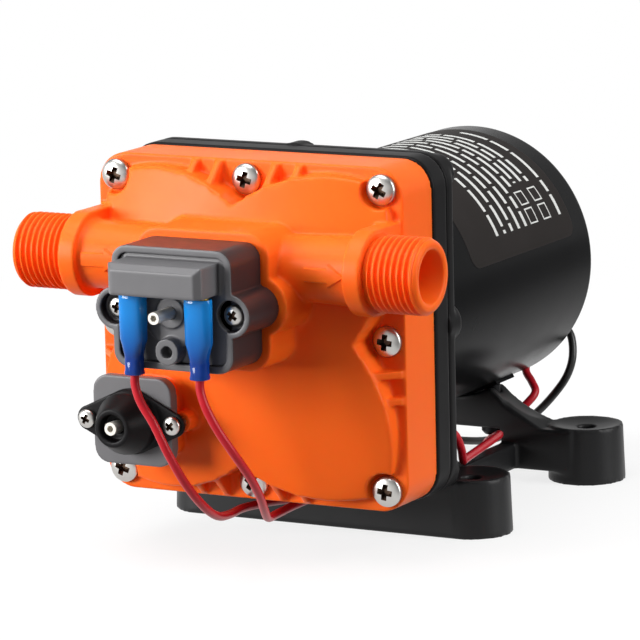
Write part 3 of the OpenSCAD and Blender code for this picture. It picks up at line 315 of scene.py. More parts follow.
# Matt film: a warm dark grey without highlights.
label_film = material(
    "black_matt_label_film", grain=(0.9, 0.01), colour=(15, "#282524", "#2f2c2b"), Roughness=0.5,
    IOR=1.46, Specular_IOR_Level=0.03)
# Ink: pale and flat.
label_ink = material(
    "pale_label_ink", grain=(0.6, 0.01), colour=(4, "#c9cac8", "#d8d9d6"), Roughness=0.5, IOR=1.46)
# Sintered ferrite: a rough dark grey.
ferrite = material(
    "sintered_ferrite", grain=(0.5, 0.05), colour=(8, "#2c2c2e", "#363638"), Roughness=0.7)
# Pressed carbon: nearly black, with a faint shine.
carbon = material(
    "pressed_carbon", grain=(0.4, 0.04), colour=(3, "#242426", "#2e2e30"), Roughness=0.55)
print("materials in all:", len(bpy.data.materials))

# %% [markdown]
# Each node of the solids gets the material of its slot, so the hidden pieces are finished too. The
# pieces that show are then made again with softer or finer shapes.

# %% Materials on the solids
SLOT_MATERIALS = {
    "orange_plastic": orange_plastic, "black_plastic": black_plastic, "base_plastic": base_plastic,
    "black_paint": motor_paint, "stainless": stainless, "bearing_steel": ground_steel,
    "spring_steel": spring_steel, "iron": bare_iron, "magnet": ferrite, "copper": copper, "brass": brass,
    "white_plastic": white_plastic, "carbon": carbon, "rubber": rubber, "blue_nylon": blue_nylon,
    "red_pvc": red_pvc, "black_pvc": black_pvc,
}
slot_of = {part["node"]: part["material_slot"] for part in frame["record"]["subparts"]}
for name, node in nodes.items():
    node.data.materials.clear()
    node.data.materials.append(SLOT_MATERIALS[slot_of[name]])
nodes["saddle_screws"].data.materials[0] = black_zinc
# The adjuster studs get the painted sheen of pale zinc.
for name in ("pressure_adjuster", "bypass_adjuster"):
    nodes[name].data.materials[0] = sheen_painted_zinc_steel
print("nodes with materials:", len(nodes))

# %% [markdown]
# ## The leads
# Two red leads leave the switch and one black lead leaves the motor. Each is a limp wire with PVC
# insulation. The routes repeat the points that the solids were swept along.

# %% Lead routes
LEAD_D = 2.4
ROUTES = {
    "lead_switch_to_motor": [
        (-10, -46.1, -4.3), (-10, -46.1, -7.5), (-8.5, -46, -12), (-5.2, -45, -18), (-2.2, -43.2, -26),
        (0.2, -38, -35.5), (0.8, -30, -43), (-0.8, -20, -47.8), (-3.2, -9, -49.8), (-5, 3, -50.5),
        (-2.6, 20, -51.8), (4, 29, -52.7), (11, 33, -52.5), (17.5, 34.4, -50.8), (23, 34.7, -47.8),
        (28, 37, -43), (31.5, 40.5, -37.5), (34.7, 43.8, -34), (37.4, 47, -35), (38, 50, -39.6),
        (36.6, 54, -44), (34.2, 61, -44.9), (30, 86, -44.9), (27, 96, -45.7), (22.5, 104, -47.7),
        (17.2, 109, -50.6), (13.5, 115, -52.8), (11, 125, -52.6), (13.2, 131.5, -48.8),
        (17, 134.5, -44.7), (18.6, 137.6, -41.5), (16.3, 139.9, -38.8), (13.3, 142.2, -36),
        (13, 144.6, -31), (12.2, 145.2, -26.6), (11, 143.1, -24.1), (11, 141.4, -24)],
    "lead_supply_red": [
        (10, -46.1, -4.3), (10, -46.1, -7.5), (11.5, -46, -12), (14, -44.5, -18), (16.8, -41, -25),
        (17.8, -35, -32), (16.6, -27.5, -39), (13.5, -19.5, -45), (9.8, -11, -49.2), (7, -1, -50.5),
        (6, 11, -50.6), (7.3, 25, -50), (7.5, 29, -49.3), (7.5, 32.2, -47.6), (7.5, 35.2, -45.6),
        (7.4, 38.5, -44.1), (7, 43, -43.6), (6.5, 49, -43.9), (4, 60, -46), (-1, 74, -49.5),
        (-4, 92, -52), (-5, 112, -54), (-8, 133, -58), (-16, 141, -60.8), (-30, 146, -61.5),
        (-46, 147, -61.5), (-58, 140, -61.5), (-63, 127, -61.5), (-63, 112, -61.5), (-60, 78, -61.5)],
    "lead_supply_black": [
        (17, 141.4, -24), (17, 143.6, -24), (19, 146.2, -23), (22.9, 147, -22.5), (26.7, 145.6, -25),
        (28.2, 143.6, -31), (26.7, 142.4, -37), (22.5, 141.6, -43), (17, 141.2, -48.7),
        (9.5, 142.5, -54.2), (0, 146, -59), (-12, 150.5, -61.3), (-28, 153, -61.5), (-46, 153, -61.5),
        (-60, 147, -61.5), (-68, 134, -61.5), (-69, 116, -61.5), (-66, 78, -61.5)],
}
print("points per route:", [len(route) for route in ROUTES.values()])

# %% [markdown]
# A curve object suits a wire: its points are the route, and its bevel is the insulation. A smooth curve
# through the points takes out the corners.

# %% Lead curves
STEPS = 5
BEVEL_STEPS = 5


def spline_point(a, b, c, d, u):
    """A point between b and c on the smooth curve through four points."""
    return ((b * 2) + (c - a) * u + (a * 2 - b * 5 + c * 4 - d) * u * u
            + (b * 3 - a - c * 3 + d) * u * u * u) / 2


def smooth_route(points):
    """The route with extra points between its own, on one smooth curve."""
    line = []
    last = len(points) - 1
    for i in range(last):
        a, b, c, d = points[max(i - 1, 0)], points[i], points[i + 1], points[min(i + 2, last)]
        line += [spline_point(a, b, c, d, step / STEPS) for step in range(STEPS)]
    return line + [points[-1]]


def make_lead(node, finish):
    """A lead along its route: a curve with a round bevel, fixed to the pump's body."""
    line = smooth_route([at_head(*p) for p in ROUTES[node]])
    curve = bpy.data.curves.new(node + "_wire", "CURVE")
    curve.dimensions = "3D"
    curve.bevel_depth = LEAD_D / 2 * MM
    curve.bevel_resolution = BEVEL_STEPS
    curve.use_fill_caps = True
    spline = curve.splines.new("POLY")
    spline.points.add(len(line) - 1)
    for spot, p in zip(spline.points, line):
        spot.co = (*p, 1)
    spline.use_smooth = True
    curve.materials.append(finish)
    wire = put(bpy.data.objects.new(node + "_wire", curve))
    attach(wire, "pump_body")
    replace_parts(wire, node)


# %% [markdown]
# Wire strands, threads, screws and sleeves are all rings of points, each joined to the next. One
# function can skin them all. A ring of a single point closes a shape on its axis.

# %% Helpers for rings of points


def circle(count):
    """The angles of evenly spaced points round a circle."""
    return [2 * math.pi * k / count for k in range(count)]


def skin(bm, rings):
    """Joins each ring of points to the next with faces."""
    for low, high in zip(rings, rings[1:]):
        sides = max(len(low), len(high))
        for k in range(sides):
            m = (k + 1) % sides
            corners = [low[k % len(low)], low[m % len(low)], high[m % len(high)], high[k % len(high)]]
            bm.faces.new(list(dict.fromkeys(corners)))


def mesh_of(bm, name):
    """Turns a bmesh into a mesh whose faces look outwards."""
    bmesh.ops.recalc_face_normals(bm, faces=bm.faces)
    mesh = bpy.data.meshes.new(name)
    bm.to_mesh(mesh)
    bm.free()
    return mesh


def finish_piece(name, bm, finish, smooth_angle=35):
    """Turns a bmesh into a smooth-shaded piece with a material, fixed to the pump's body."""
    mesh = mesh_of(bm, name)
    mesh.materials.append(finish)
    mesh.shade_smooth()
    mesh.set_sharp_from_angle(angle=math.radians(smooth_angle))
    print(name, "made with", len(mesh.polygons), "faces")
    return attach(put(bpy.data.objects.new(name, mesh)), "pump_body")


# %% [markdown]
# The two supply leads are stripped for about 7 mm, and the bare strands are twisted together. Each tip
# is one mesh of thin tubes.

# %% Stripped tips
TIP_L, TIP_STEPS = 7.0, 12
TUCKED_IN = 0.4
STRANDS, STRAND_R, STRAND_SIDES = 7, 0.36, 8
PACKING = 0.92
TWIST = 1.3


def tube(bm, line, radius, sides):
    """Adds a round tube along a line of points to a bmesh, closed at both ends."""
    rings = []
    side = (line[1] - line[0]).normalized().orthogonal().normalized()
    for i, p in enumerate(line):
        along = (line[min(i + 1, len(line) - 1)] - line[max(i - 1, 0)]).normalized()
        side = (side - along * side.dot(along)).normalized()
        over = along.cross(side)
        rings.append([bm.verts.new(p + (side * math.cos(t) + over * math.sin(t)) * radius)
                      for t in circle(sides)])
    skin(bm, rings)
    bm.faces.new(rings[0][::-1])
    bm.faces.new(rings[-1])


def stripped_tip(name, node):
    """The bare end of a lead: one straight strand with the others twisted round it."""
    before, end = [at_head(*p) for p in ROUTES[node][-2:]]
    along = (end - before).normalized()
    side = along.orthogonal().normalized()
    over = along.cross(side)
    bm = bmesh.new()
    for strand in range(STRANDS):
        reach = 0 if strand == 0 else 2 * STRAND_R * PACKING
        line = []
        for step in range(TIP_STEPS + 1):
            u = step / TIP_STEPS
            angle = 2 * math.pi * (strand / (STRANDS - 1) + TWIST * u)
            line.append(end + along * (TIP_L * u - TUCKED_IN) * MM
                        + (side * math.cos(angle) + over * math.sin(angle)) * reach * MM)
        tube(bm, line, STRAND_R * MM, STRAND_SIDES)
    return finish_piece(name, bm, copper)


red_tip = stripped_tip("supply_red_tip", "lead_supply_red")
black_tip = stripped_tip("supply_black_tip", "lead_supply_black")
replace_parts(red_tip, "lead_tips")
make_lead("lead_switch_to_motor", red_pvc)
make_lead("lead_supply_red", red_pvc)
make_lead("lead_supply_black", black_pvc)

# %% [markdown]
# ## Moulded pieces
# A mould leaves no razor edges: corners are rounded, and where two walls meet there is a fillet. A
# bevel would need clean edge loops, which a solid from CAD doesn't have. So a copy of the solid is
# rebuilt on a fine voxel grid, and a few rounds of smoothing soften its edges and fill its inner
# corners, while flat faces stay where they are.

# %% Rebuild a solid with softened edges
SMOOTH_FACTOR = 0.5


def apply_modifiers(piece):
    """Gives the piece the mesh that its modifiers make, and drops them."""
    depsgraph = bpy.context.evaluated_depsgraph_get()
    piece.data = bpy.data.meshes.new_from_object(piece.evaluated_get(depsgraph))
    piece.modifiers.clear()


def smooth_rounds(piece, rounds, group=""):
    """Adds rounds of smoothing to a piece, or to a vertex group of it."""
    smooth = piece.modifiers.new("soften", "SMOOTH")
    smooth.factor = SMOOTH_FACTOR
    smooth.iterations = rounds
    smooth.vertex_group = group


def softened(node, finish, voxel, rounds, reshape=None):
    """A copy of a node's mesh with rounded edges, which stands for the node."""
    mesh = nodes[node].data.copy()
    mesh.materials.clear()
    piece = put(bpy.data.objects.new(node + "_moulded", mesh))
    remesh = piece.modifiers.new("voxels", "REMESH")
    remesh.mode = "VOXEL"
    remesh.voxel_size = voxel * MM
    smooth_rounds(piece, rounds)
    apply_modifiers(piece)
    if reshape:
        reshape(piece)
    piece.data.materials.clear()
    piece.data.materials.append(finish)
    piece.data.shade_smooth()
    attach(piece, "pump_body")
    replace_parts(piece, node)
    print(node, "softened:", len(piece.data.polygons), "faces")
    return piece


# %% [markdown]
# The crown of the head has much rounder edges than the rest. A weight for each point says how far it
# takes part in more rounds of smoothing. It is 0 on the flange, the port tubes, the bypass boss, the
# screw seats and the ribs, which keep their crisper edges.

# %% Which points of the head are rounded further
PORT_SPAN, PORT_Y, PORT_Z = 124.8, -13, 21
PORT_X = PORT_SPAN / 2
CORNER, MID = 41.25, 42.1
SCREW_SITES = ((CORNER, CORNER), (MID, 0), (0, MID))
SCREW_CLEAR = (5.4, 6.4)
BYPASS_X, BYPASS_Z = -27, -23.5
BYPASS_HALF_X, BYPASS_HALF_Z = 16, 12
FLANGE_CLEAR = (1.2, 3)
SHOULDER, SHOULDER_DROP = (11, 14), 0.7
CROWN_TOP = 26
TUBE_START, TUBE_END, TUBE_CLEAR = 20, 38, (11, 13)
TUBE_WEIGHT = 0.2
FADE = (0, 2)
RIB_SITES, RIB_START, RIB_CLEAR = (8.8, 16.2), 34, (0.9, 1.7)


def ramp(value, low, high):
    """0 below low, 1 above high, and an even curve between."""
    t = min(max((value - low) / (high - low), 0), 1)
    return t * t * (3 - 2 * t)


def off_ribs(p):
    """0 on a gusset rib beside a mid-side screw, and 1 away from the ribs."""
    weight = 1
    for across, outwards in ((abs(p.x), abs(p.z)), (-p.z, abs(p.x))):
        if outwards > RIB_START:
            weight = min([weight] + [ramp(abs(across - site), *RIB_CLEAR) for site in RIB_SITES])
    return weight


def off_tubes(p):
    """0 along a port tube, with a little more where it leaves the crown, and 1 away from it."""
    if abs(p.x) < TUBE_START:
        return 1
    return max(ramp(abs(p.z - PORT_Z), *TUBE_CLEAR), TUBE_WEIGHT * ramp(TUBE_END - abs(p.x), *FADE))


def crown_weight(p):
    """How far a point of the head takes part in the crown's large soft edges."""
    off_flange = ramp(-p.y, *FLANGE_CLEAR) * ramp(CROWN_TOP + p.y, *FADE)
    off_flange *= 1 - SHOULDER_DROP * ramp(-p.y, *SHOULDER)
    off_valve = ramp(max(abs(p.x - BYPASS_X) - BYPASS_HALF_X, abs(p.z - BYPASS_Z) - BYPASS_HALF_Z), *FADE)
    off_screws = min(ramp(math.hypot(abs(p.x) - x, abs(p.z) - z), *SCREW_CLEAR) for x, z in SCREW_SITES)
    return off_flange * off_tubes(p) * off_valve * off_screws * off_ribs(p)


print("weight on the crown's side:", round(crown_weight(Vector((30, -8, 0))), 2))

# %% [markdown]
# The head is rebuilt finest, because it is what the eye goes to. Its two ports are cut off at their
# collars, and threaded ones take their place further on. The others follow, and the switch's rim gets
# the painted sheen of the panel that it frames: a grey that stands in for the light on front faces.

# %% The moulded pieces
CROWN_ROUNDS = 24
THREAD_L = 16
THREAD_X = PORT_X - THREAD_L
PORT_CUT_R, PORT_CUT_IN = 11, 0.3
RIM_DEPTH = 0.3


def shape_head(piece):
    """Rounds the crown further, and takes away the plain ports."""
    crown = piece.vertex_groups.new(name="crown")
    for v in piece.data.vertices:
        weight = crown_weight((v.co - head_origin) / MM)
        if weight > 0:
            crown.add([v.index], weight, "REPLACE")
    smooth_rounds(piece, CROWN_ROUNDS, "crown")
    apply_modifiers(piece)
    piece.vertex_groups.clear()
    bm = bmesh.new()
    bm.from_mesh(piece.data)
    ports = []
    for v in bm.verts:
        p = (v.co - head_origin) / MM
        if abs(p.x) > THREAD_X + PORT_CUT_IN and math.hypot(p.y - PORT_Y, p.z - PORT_Z) < PORT_CUT_R:
            ports.append(v)
    bmesh.ops.delete(bm, geom=ports, context="VERTS")
    bm.to_mesh(piece.data)
    bm.free()


softened("upper_housing", orange_plastic, voxel=0.4, rounds=3, reshape=shape_head)
softened("diaphragm_frame", black_plastic, voxel=0.6, rounds=3)
softened("lower_housing", black_plastic, voxel=0.6, rounds=4)
softened("base_frame", base_plastic, voxel=0.55, rounds=3)
shell = softened("switch_body", switch_plastic, voxel=0.3, rounds=4)
# The rim's front faces get the painted sheen, a greyer nylon for the light on them.
shell.data.materials.append(sheen_painted_nylon)
rim_y = min(v.co.y for v in shell.data.vertices) + RIM_DEPTH * MM
for face in shell.data.polygons:
    if face.center.y < rim_y:
        face.material_index = 1
# The cover and the bypass plate get the painted sheen too.
softened("switch_cover", sheen_painted_nylon, voxel=0.3, rounds=3)
softened("bypass_plate", sheen_painted_nylon, voxel=0.3, rounds=4)
softened("bypass_cap", black_plastic, voxel=0.3, rounds=5)

# %% [markdown]
# ## Port threads
# The ports carry a half-inch pipe thread, moulded with the head. A thread is a helix, so the port is
# made as rings of points whose radius depends on the angle and on the distance along the port: that
# gives one clean surface with a run-out at both ends, a chamfered mouth and the bore.

# %% Threaded ports
PITCH = 1.814
CREST_R, ROOT_R, BORE_R = 10.48, 9.5, 7.2
CREST_HALF, FLANK_HALF = 0.12, 0.75
SEAT_R, SEAT_L, SEAT_EDGE = 11.4, 1.5, 0.05
NECK, NECK_FILLET = 1.2, 0.35
RUN_UP, RUN_ON, RUN_OUT = 0.5, 0.9, 0.8
LEAD_IN, MOUTH_L, MOUTH_RISE = 0.6, 1, 0.45
CHAMFER, CHAMFER_PAST = 0.9, 0.3
BORE_EDGE, BORE_IN = 0.5, 4
AROUND = 96
RINGS_PER_PITCH = 12


def thread_height(turn):
    """The thread's profile over one pitch: a narrow crest between rounded roots."""
    distance = abs((turn % 1) - 0.5) * 2
    return 1 - ramp(distance, CREST_HALF, FLANK_HALF)


def thread_radius(s, turn):
    """The port's radius at a distance from its collar, where the helix has made so many turns."""
    shown = ramp(s, NECK - RUN_UP, NECK + RUN_ON) * ramp(THREAD_L - LEAD_IN - s, 0, RUN_OUT)
    plain = ROOT_R + MOUTH_RISE * ramp(s, THREAD_L - LEAD_IN - MOUTH_L, THREAD_L - LEAD_IN)
    chamfer = CHAMFER * ramp(s, THREAD_L - CHAMFER, THREAD_L + CHAMFER_PAST)
    return plain + (CREST_R - plain) * shown * thread_height(turn) - chamfer


def threaded_port(name, side):
    """A port from inside its collar to its mouth, and back along its bore."""
    bm = bmesh.new()
    rings = []

    def ring(x, radius_at):
        points = [(t, radius_at(t)) for t in circle(AROUND)]
        rings.append([bm.verts.new(at_head(side * x, PORT_Y + r * math.cos(t), PORT_Z + r * math.sin(t)))
                      for t, r in points])

    ring(THREAD_X - SEAT_L, lambda t: SEAT_R)
    ring(THREAD_X - SEAT_EDGE, lambda t: SEAT_R)
    ring(THREAD_X, lambda t: ROOT_R + NECK_FILLET)
    count = int(THREAD_L / PITCH * RINGS_PER_PITCH)
    for i in range(count + 1):
        s = THREAD_L * i / count
        ring(THREAD_X + s, lambda t: thread_radius(s, s / PITCH - side * t / (2 * math.pi)))
    ring(PORT_X, lambda t: BORE_R + BORE_EDGE)
    ring(PORT_X - BORE_EDGE, lambda t: BORE_R)
    ring(THREAD_X - BORE_IN, lambda t: BORE_R)
    skin(bm, rings)
    finish_piece(name, bm, orange_plastic, smooth_angle=50)


threaded_port("inlet_thread", -1)
threaded_port("outlet_thread", 1)

# %% [markdown]
# A raised arrow on each port tube shows which way the water goes. It is wrapped on the tube, which
# widens a little towards its collar. Its sides slope outwards, as a mould needs, and so they catch the
# light and let the arrow show.

# %% Flow arrows
TUBE_IN, TUBE_OUT = (13.75, 8.4), (41.4, 9.6)
ARROW_L, HEAD_L, SHAFT_HALF, HEAD_HALF, ARROW_H = 12, 5, 1.7, 2.9, 0.6
DRAFT, SUNK = 0.35, 0.1
INLET_TAIL, OUTLET_TAIL = -40, 29
BARB = 0.01
HALF_CUTS = [0, 0.9, SHAFT_HALF, SHAFT_HALF + BARB, HEAD_HALF]
SAME_POINT = 0.001


def on_tube(x, across, height):
    """A point on the front of a port tube, at a distance across its middle line."""
    share = (abs(x) - TUBE_IN[0]) / (TUBE_OUT[0] - TUBE_IN[0])
    radius = TUBE_IN[1] + (TUBE_OUT[1] - TUBE_IN[1]) * share + height
    angle = across / radius
    return at_head(x, PORT_Y - radius * math.cos(angle), PORT_Z + radius * math.sin(angle))


def flow_arrow(name, tail):
    """An arrow towards +X, laid in strips from its one barb to the other."""
    bm = bmesh.new()
    rows = []
    for across in [-cut for cut in HALF_CUTS[:0:-1]] + HALF_CUTS:
        start = tail if abs(across) <= SHAFT_HALF else tail + ARROW_L - HEAD_L
        tip = tail + ARROW_L - HEAD_L * abs(across) / HEAD_HALF
        low, top = [], []
        for x, out in ((start, -DRAFT), (tip, DRAFT)):
            low.append(bm.verts.new(on_tube(x + out, across * (1 + DRAFT / SHAFT_HALF), -SUNK)))
            top.append(bm.verts.new(on_tube(x, across, ARROW_H)))
        rows.append((low, top))
    for (low_a, top_a), (low_b, top_b) in zip(rows, rows[1:]):
        bm.faces.new((top_a[0], top_a[1], top_b[1], top_b[0]))
        for end in (0, 1):
            bm.faces.new((low_a[end], low_b[end], top_b[end], top_a[end]))
    bmesh.ops.remove_doubles(bm, verts=bm.verts, dist=SAME_POINT * MM)
    finish_piece(name, bm, orange_plastic, smooth_angle=20)


flow_arrow("inlet_arrow", INLET_TAIL)
flow_arrow("outlet_arrow", OUTLET_TAIL)

# %% [markdown]
# ## Screws
# Pan-head screws with a cross recess hold everything. One head is turned on a lathe from its profile,
# and a tapered cross cuts the recess. A Boolean suits this one cut, because both shapes are closed.

# %% Lathe and cross
CROSS_FLARE, CROSS_ABOVE = 1.1, 0.5
CROSS_END_REACH, CROSS_END_HALF = 0.42, 0.72


def lathe(bm, profile, segments=48):
    """Turns a profile of (radius, y) points about the Y axis, and closes it on the axis."""
    rings = []
    for radius, y in profile:
        angles = circle(segments) if radius else [0]
        rings.append([bm.verts.new((radius * math.cos(t) * MM, y * MM, radius * math.sin(t) * MM))
                      for t in angles])
    skin(bm, rings)


def cross_outline(bm, reach, half, y):
    """The twelve corners of a cross in the plane at y."""
    points = []
    for t in circle(4):
        c, s = math.cos(t), math.sin(t)
        for a, b in ((reach, -half), (reach, half), (half, half)):
            points.append(bm.verts.new(((a * c - b * s) * MM, y * MM, (a * s + b * c) * MM)))
    return points


def cross_cutter(bm, reach, half, top, depth):
    """A cross that tapers inwards from above y = -top to the bottom of the recess."""
    rings = [cross_outline(bm, reach * CROSS_FLARE, half * CROSS_FLARE, -top - CROSS_ABOVE),
             cross_outline(bm, reach, half, -top),
             cross_outline(bm, reach * CROSS_END_REACH, half * CROSS_END_HALF, -top + depth)]
    skin(bm, rings)
    bm.faces.new(rings[0][::-1])
    bm.faces.new(rings[-1])


# %% [markdown]
# The faces that the cutter leaves lie below the dome of the head. That is how they are found, to get
# the painted shade of the recess.

# %% A screw's mesh
SEAT_SHARE, SEAT_BEVEL = 0.97, 0.25
EDGE_SHARE, DOME_STEPS = 0.42, 9
RECESS_REACH, RECESS_HALF, RECESS_DEPTH = 0.56, 0.19, 0.75
RECESS_ROUND, BELOW_DOME, ABOVE_HEAD = 0.6, 0.12, 0.1
SCREW_SHARP = 40


def screw_solid(name, head_r, head_h, edge_h, thread_r, length):
    """A screw before its recess is cut, with its seat at y = 0 and its head towards -Y."""
    profile = [(0, length), (thread_r, length), (thread_r, 0), (head_r * SEAT_SHARE, 0),
               (head_r, -SEAT_BEVEL)]
    for i in range(DOME_STEPS):
        t = math.pi / 2 * i / DOME_STEPS
        profile.append((head_r * math.cos(t), -edge_h - (head_h - edge_h) * math.sin(t)))
    bm = bmesh.new()
    lathe(bm, profile + [(0, -head_h)])
    return put(bpy.data.objects.new(name, mesh_of(bm, name)))


def screw_mesh(name, head_r, head_h, thread_r, length):
    """A pan-head screw with its recess cut, and painted shade, a darker steel, inside it."""
    edge_h = head_h * EDGE_SHARE
    screw = screw_solid(name, head_r, head_h, edge_h, thread_r, length)
    bm = bmesh.new()
    cross_cutter(bm, head_r * RECESS_REACH, head_r * RECESS_HALF, head_h, head_h * RECESS_DEPTH)
    cutter = put(bpy.data.objects.new(name + "_recess", mesh_of(bm, name + "_recess")))
    cut = screw.modifiers.new("recess", "BOOLEAN")
    cut.operation = "DIFFERENCE"
    cut.solver = "EXACT"
    cut.object = cutter
    apply_modifiers(screw)
    mesh = screw.data
    bpy.data.objects.remove(screw)
    bpy.data.objects.remove(cutter)
    mesh.name = name
    mesh.materials.clear()
    mesh.materials.append(stainless)
    mesh.materials.append(recess_painted_shade_steel)
    # Faces inside the recess get the painted shade.
    for face in mesh.polygons:
        x, y, z = face.center / MM
        dome = edge_h + (head_h - edge_h) * math.sqrt(max(1 - (x * x + z * z) / head_r ** 2, 0))
        in_head = math.hypot(x, z) < head_r * RECESS_ROUND and -head_h - ABOVE_HEAD < y < 0
        if in_head and y > -dome + BELOW_DOME:
            face.material_index = 1
    mesh.shade_smooth()
    mesh.set_sharp_from_angle(angle=math.radians(SCREW_SHARP))
    return mesh


# %% [markdown]
# The screws of a set share one mesh, each with the turn at which it stopped. A real set never lines up.

# %% Screw sets
SWITCH_Z, LUG_X, LUG_SEAT = 12.4, 17.7, -40
EAR_X, EAR_SEAT = 13.4, -21.1
HEAD_SPOTS = [(-CORNER, CORNER, 18), (0, MID, 15), (CORNER, CORNER, 28), (MID, 0, 6),
              (CORNER, -CORNER, 8), (0, -MID, 30), (-CORNER, -CORNER, 20), (-MID, 0, 0)]
SWITCH_SPOTS = [(-LUG_X, SWITCH_Z, 12), (LUG_X, SWITCH_Z, 35)]
BYPASS_SPOTS = [(BYPASS_X - EAR_X, BYPASS_Z, 25), (BYPASS_X + EAR_X, BYPASS_Z, 40)]


def screw_set(node, seat, spots, **sizes):
    """The screws of a node, at spots of (x, z, turn in degrees) on a seat facing -Y."""
    mesh = screw_mesh(node + "_head", **sizes)
    for i, (x, z, turn) in enumerate(spots):
        screw = put(bpy.data.objects.new(f"{node}_{i + 1}", mesh))
        screw.matrix_world = (Matrix.Translation(at_head(x, seat, z))
                              @ Matrix.Rotation(math.radians(turn), 4, "Y"))
        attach(screw, "pump_body")
        if i == 0:
            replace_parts(screw, node)
    print(node, len(spots), "screws of", len(mesh.polygons), "faces")


screw_set("head_screws", 0, HEAD_SPOTS, head_r=4.3, head_h=2.7, thread_r=2.0, length=30.5)
screw_set("switch_screws", LUG_SEAT, SWITCH_SPOTS, head_r=2.9, head_h=1.9, thread_r=1.5, length=20)
screw_set("bypass_screws", EAR_SEAT, BYPASS_SPOTS, head_r=2.6, head_h=1.9, thread_r=1.5, length=11)

# %% [markdown]
# ## The motor can
# The can is drawn steel: a tube with a rounded rear edge, a shallow bearing boss and a rolled bead
# at its mouth, all turned from one profile.

# %% Motor can
MOTOR_Y, MOTOR_END, MOTOR_R = 36, 138.9, 38
MOUTH_IN, MOUTH_DIP, BEAD = 1.8, 0.1, 0.4
REAR_EDGE, EDGE_STEPS = 3, 8
BOSS_R, BOSS_H = 12.5, 0.6
CAN_SEGMENTS = 160


def motor_profile():
    """The can's outside as (radius, y), from its mouth to the middle of its boss."""
    outside = [(MOTOR_R - MOUTH_IN, MOTOR_Y + MOUTH_DIP), (MOTOR_R - BEAD, MOTOR_Y),
               (MOTOR_R, MOTOR_Y + BEAD), (MOTOR_R, MOTOR_END - REAR_EDGE)]
    for i in range(1, EDGE_STEPS + 1):
        t = math.pi / 2 * i / EDGE_STEPS
        outside.append((MOTOR_R - REAR_EDGE + REAR_EDGE * math.cos(t),
                        MOTOR_END - REAR_EDGE + REAR_EDGE * math.sin(t)))
    return outside + [(BOSS_R, MOTOR_END), (BOSS_R - BOSS_H, MOTOR_END + BOSS_H), (0, MOTOR_END + BOSS_H)]


bm = bmesh.new()
lathe(bm, motor_profile(), CAN_SEGMENTS)
bmesh.ops.translate(bm, verts=bm.verts, vec=head_origin)
can = finish_piece("motor_can_painted", bm, motor_paint, smooth_angle=30)
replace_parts(can, "motor_can")

# %% [markdown]
# The label is a thin matt film laid over the top of the can, with round corners. It is built of strips
# at a distance along the can and an angle round it, so that it follows the steel.

# %% Label film
FILM_Y, FILM_END = 62, 128
FILM_LOW, FILM_HIGH = -60, 76.6
FILM_CORNER, CORNER_STEPS = 4, 8
FILM_T, FILM_STEPS = 0.08, 60
EDGE_SUNK, EDGE_DEGREES = 0.02, 0.05


def on_can(y, degrees, height):
    """A point on the can, at an angle from its top towards the outlet side."""
    radius, angle = MOTOR_R + height, math.radians(degrees)
    return at_head(radius * math.sin(angle), y, radius * math.cos(angle))


def wrapped(bm, rows, height, steps):
    """Lays strips between rows of (y, first angle, last angle) on the can, with a thin edge."""
    tops = []
    for i, (y, low, high) in enumerate(rows):
        rim = -EDGE_SUNK if i in (0, len(rows) - 1) else height
        width = high - low - 2 * EDGE_DEGREES
        spots = [(low + EDGE_DEGREES + width * k / steps, rim) for k in range(steps + 1)]
        spots = [(low, -EDGE_SUNK)] + spots + [(high, -EDGE_SUNK)]
        tops.append([bm.verts.new(on_can(y, angle, lift)) for angle, lift in spots])
    for a, b in zip(tops, tops[1:]):
        for k in range(steps + 2):
            bm.faces.new((a[k], a[k + 1], b[k + 1], b[k]))


def film_rows():
    """The film's rows, narrower within its round corners."""
    rows = []
    for i in range(CORNER_STEPS + 1):
        t = math.pi / 2 * i / CORNER_STEPS
        trim = math.degrees(FILM_CORNER * (1 - math.sin(t)) / MOTOR_R)
        rows.append((FILM_Y + FILM_CORNER * (1 - math.cos(t)), FILM_LOW + trim, FILM_HIGH - trim))
    return rows + [(FILM_Y + FILM_END - y, low, high) for y, low, high in reversed(rows)]


bm = bmesh.new()
wrapped(bm, film_rows(), FILM_T, FILM_STEPS)
finish_piece("label_film", bm, label_film, smooth_angle=60)

# %% [markdown]
# The film is ruled with rows of short plain bars and four empty boxes, in pale ink. The bars of a row
# take their lengths in turn from one list, which starts two places further on for each row.

# %% Label bars
BAR_LINES = [(81.5, -10, 66), (86.4, -8, 66), (91, -10, 66), (95.5, -9, 66), (100, -10, 66),
             (104.2, -10, 47), (108, -9, 46), (111.8, -10, 46), (115.6, -8, 47), (122.5, 4, 66)]
BAR_MM = (9, 6.2, 11, 4, 8, 12.5, 7, 5, 10)
BAR_GAP, BAR_HALF = 1.1, 0.75
BOX_ROWS, BOX_SPANS = (105.7, 114.3), ((50, 57), (58.5, 66))
BOX_HALF, RULE_HALF, SIDE_HALF, SIDE_DEGREES = 2.2, 0.25, 2.4, 0.75
INK_T, INK_EDGE, INK_STEP_DEGREES = 0.12, 0.03, 3


def bar(bm, y, half, low, high):
    """A bar of ink between two angles."""
    ends = (y - half, y - half + INK_EDGE, y + half - INK_EDGE, y + half)
    wrapped(bm, [(end, low, high) for end in ends], INK_T, max(3, round((high - low) / INK_STEP_DEGREES)))


bm = bmesh.new()
for row, (y, low, high) in enumerate(BAR_LINES):
    angle, turn = low, row * 2
    while angle < high:
        length = math.degrees(BAR_MM[turn % len(BAR_MM)] / MOTOR_R)
        bar(bm, y, BAR_HALF, angle, min(angle + length, high))
        angle += length + math.degrees(BAR_GAP / MOTOR_R)
        turn += 1
for y in BOX_ROWS:
    for low, high in BOX_SPANS:
        for edge in (y - BOX_HALF, y + BOX_HALF):
            bar(bm, edge, RULE_HALF, low, high)
        for side in (low, high - SIDE_DEGREES):
            bar(bm, y, SIDE_HALF, side, side + SIDE_DEGREES)
finish_piece("label_bars", bm, label_ink, smooth_angle=60)

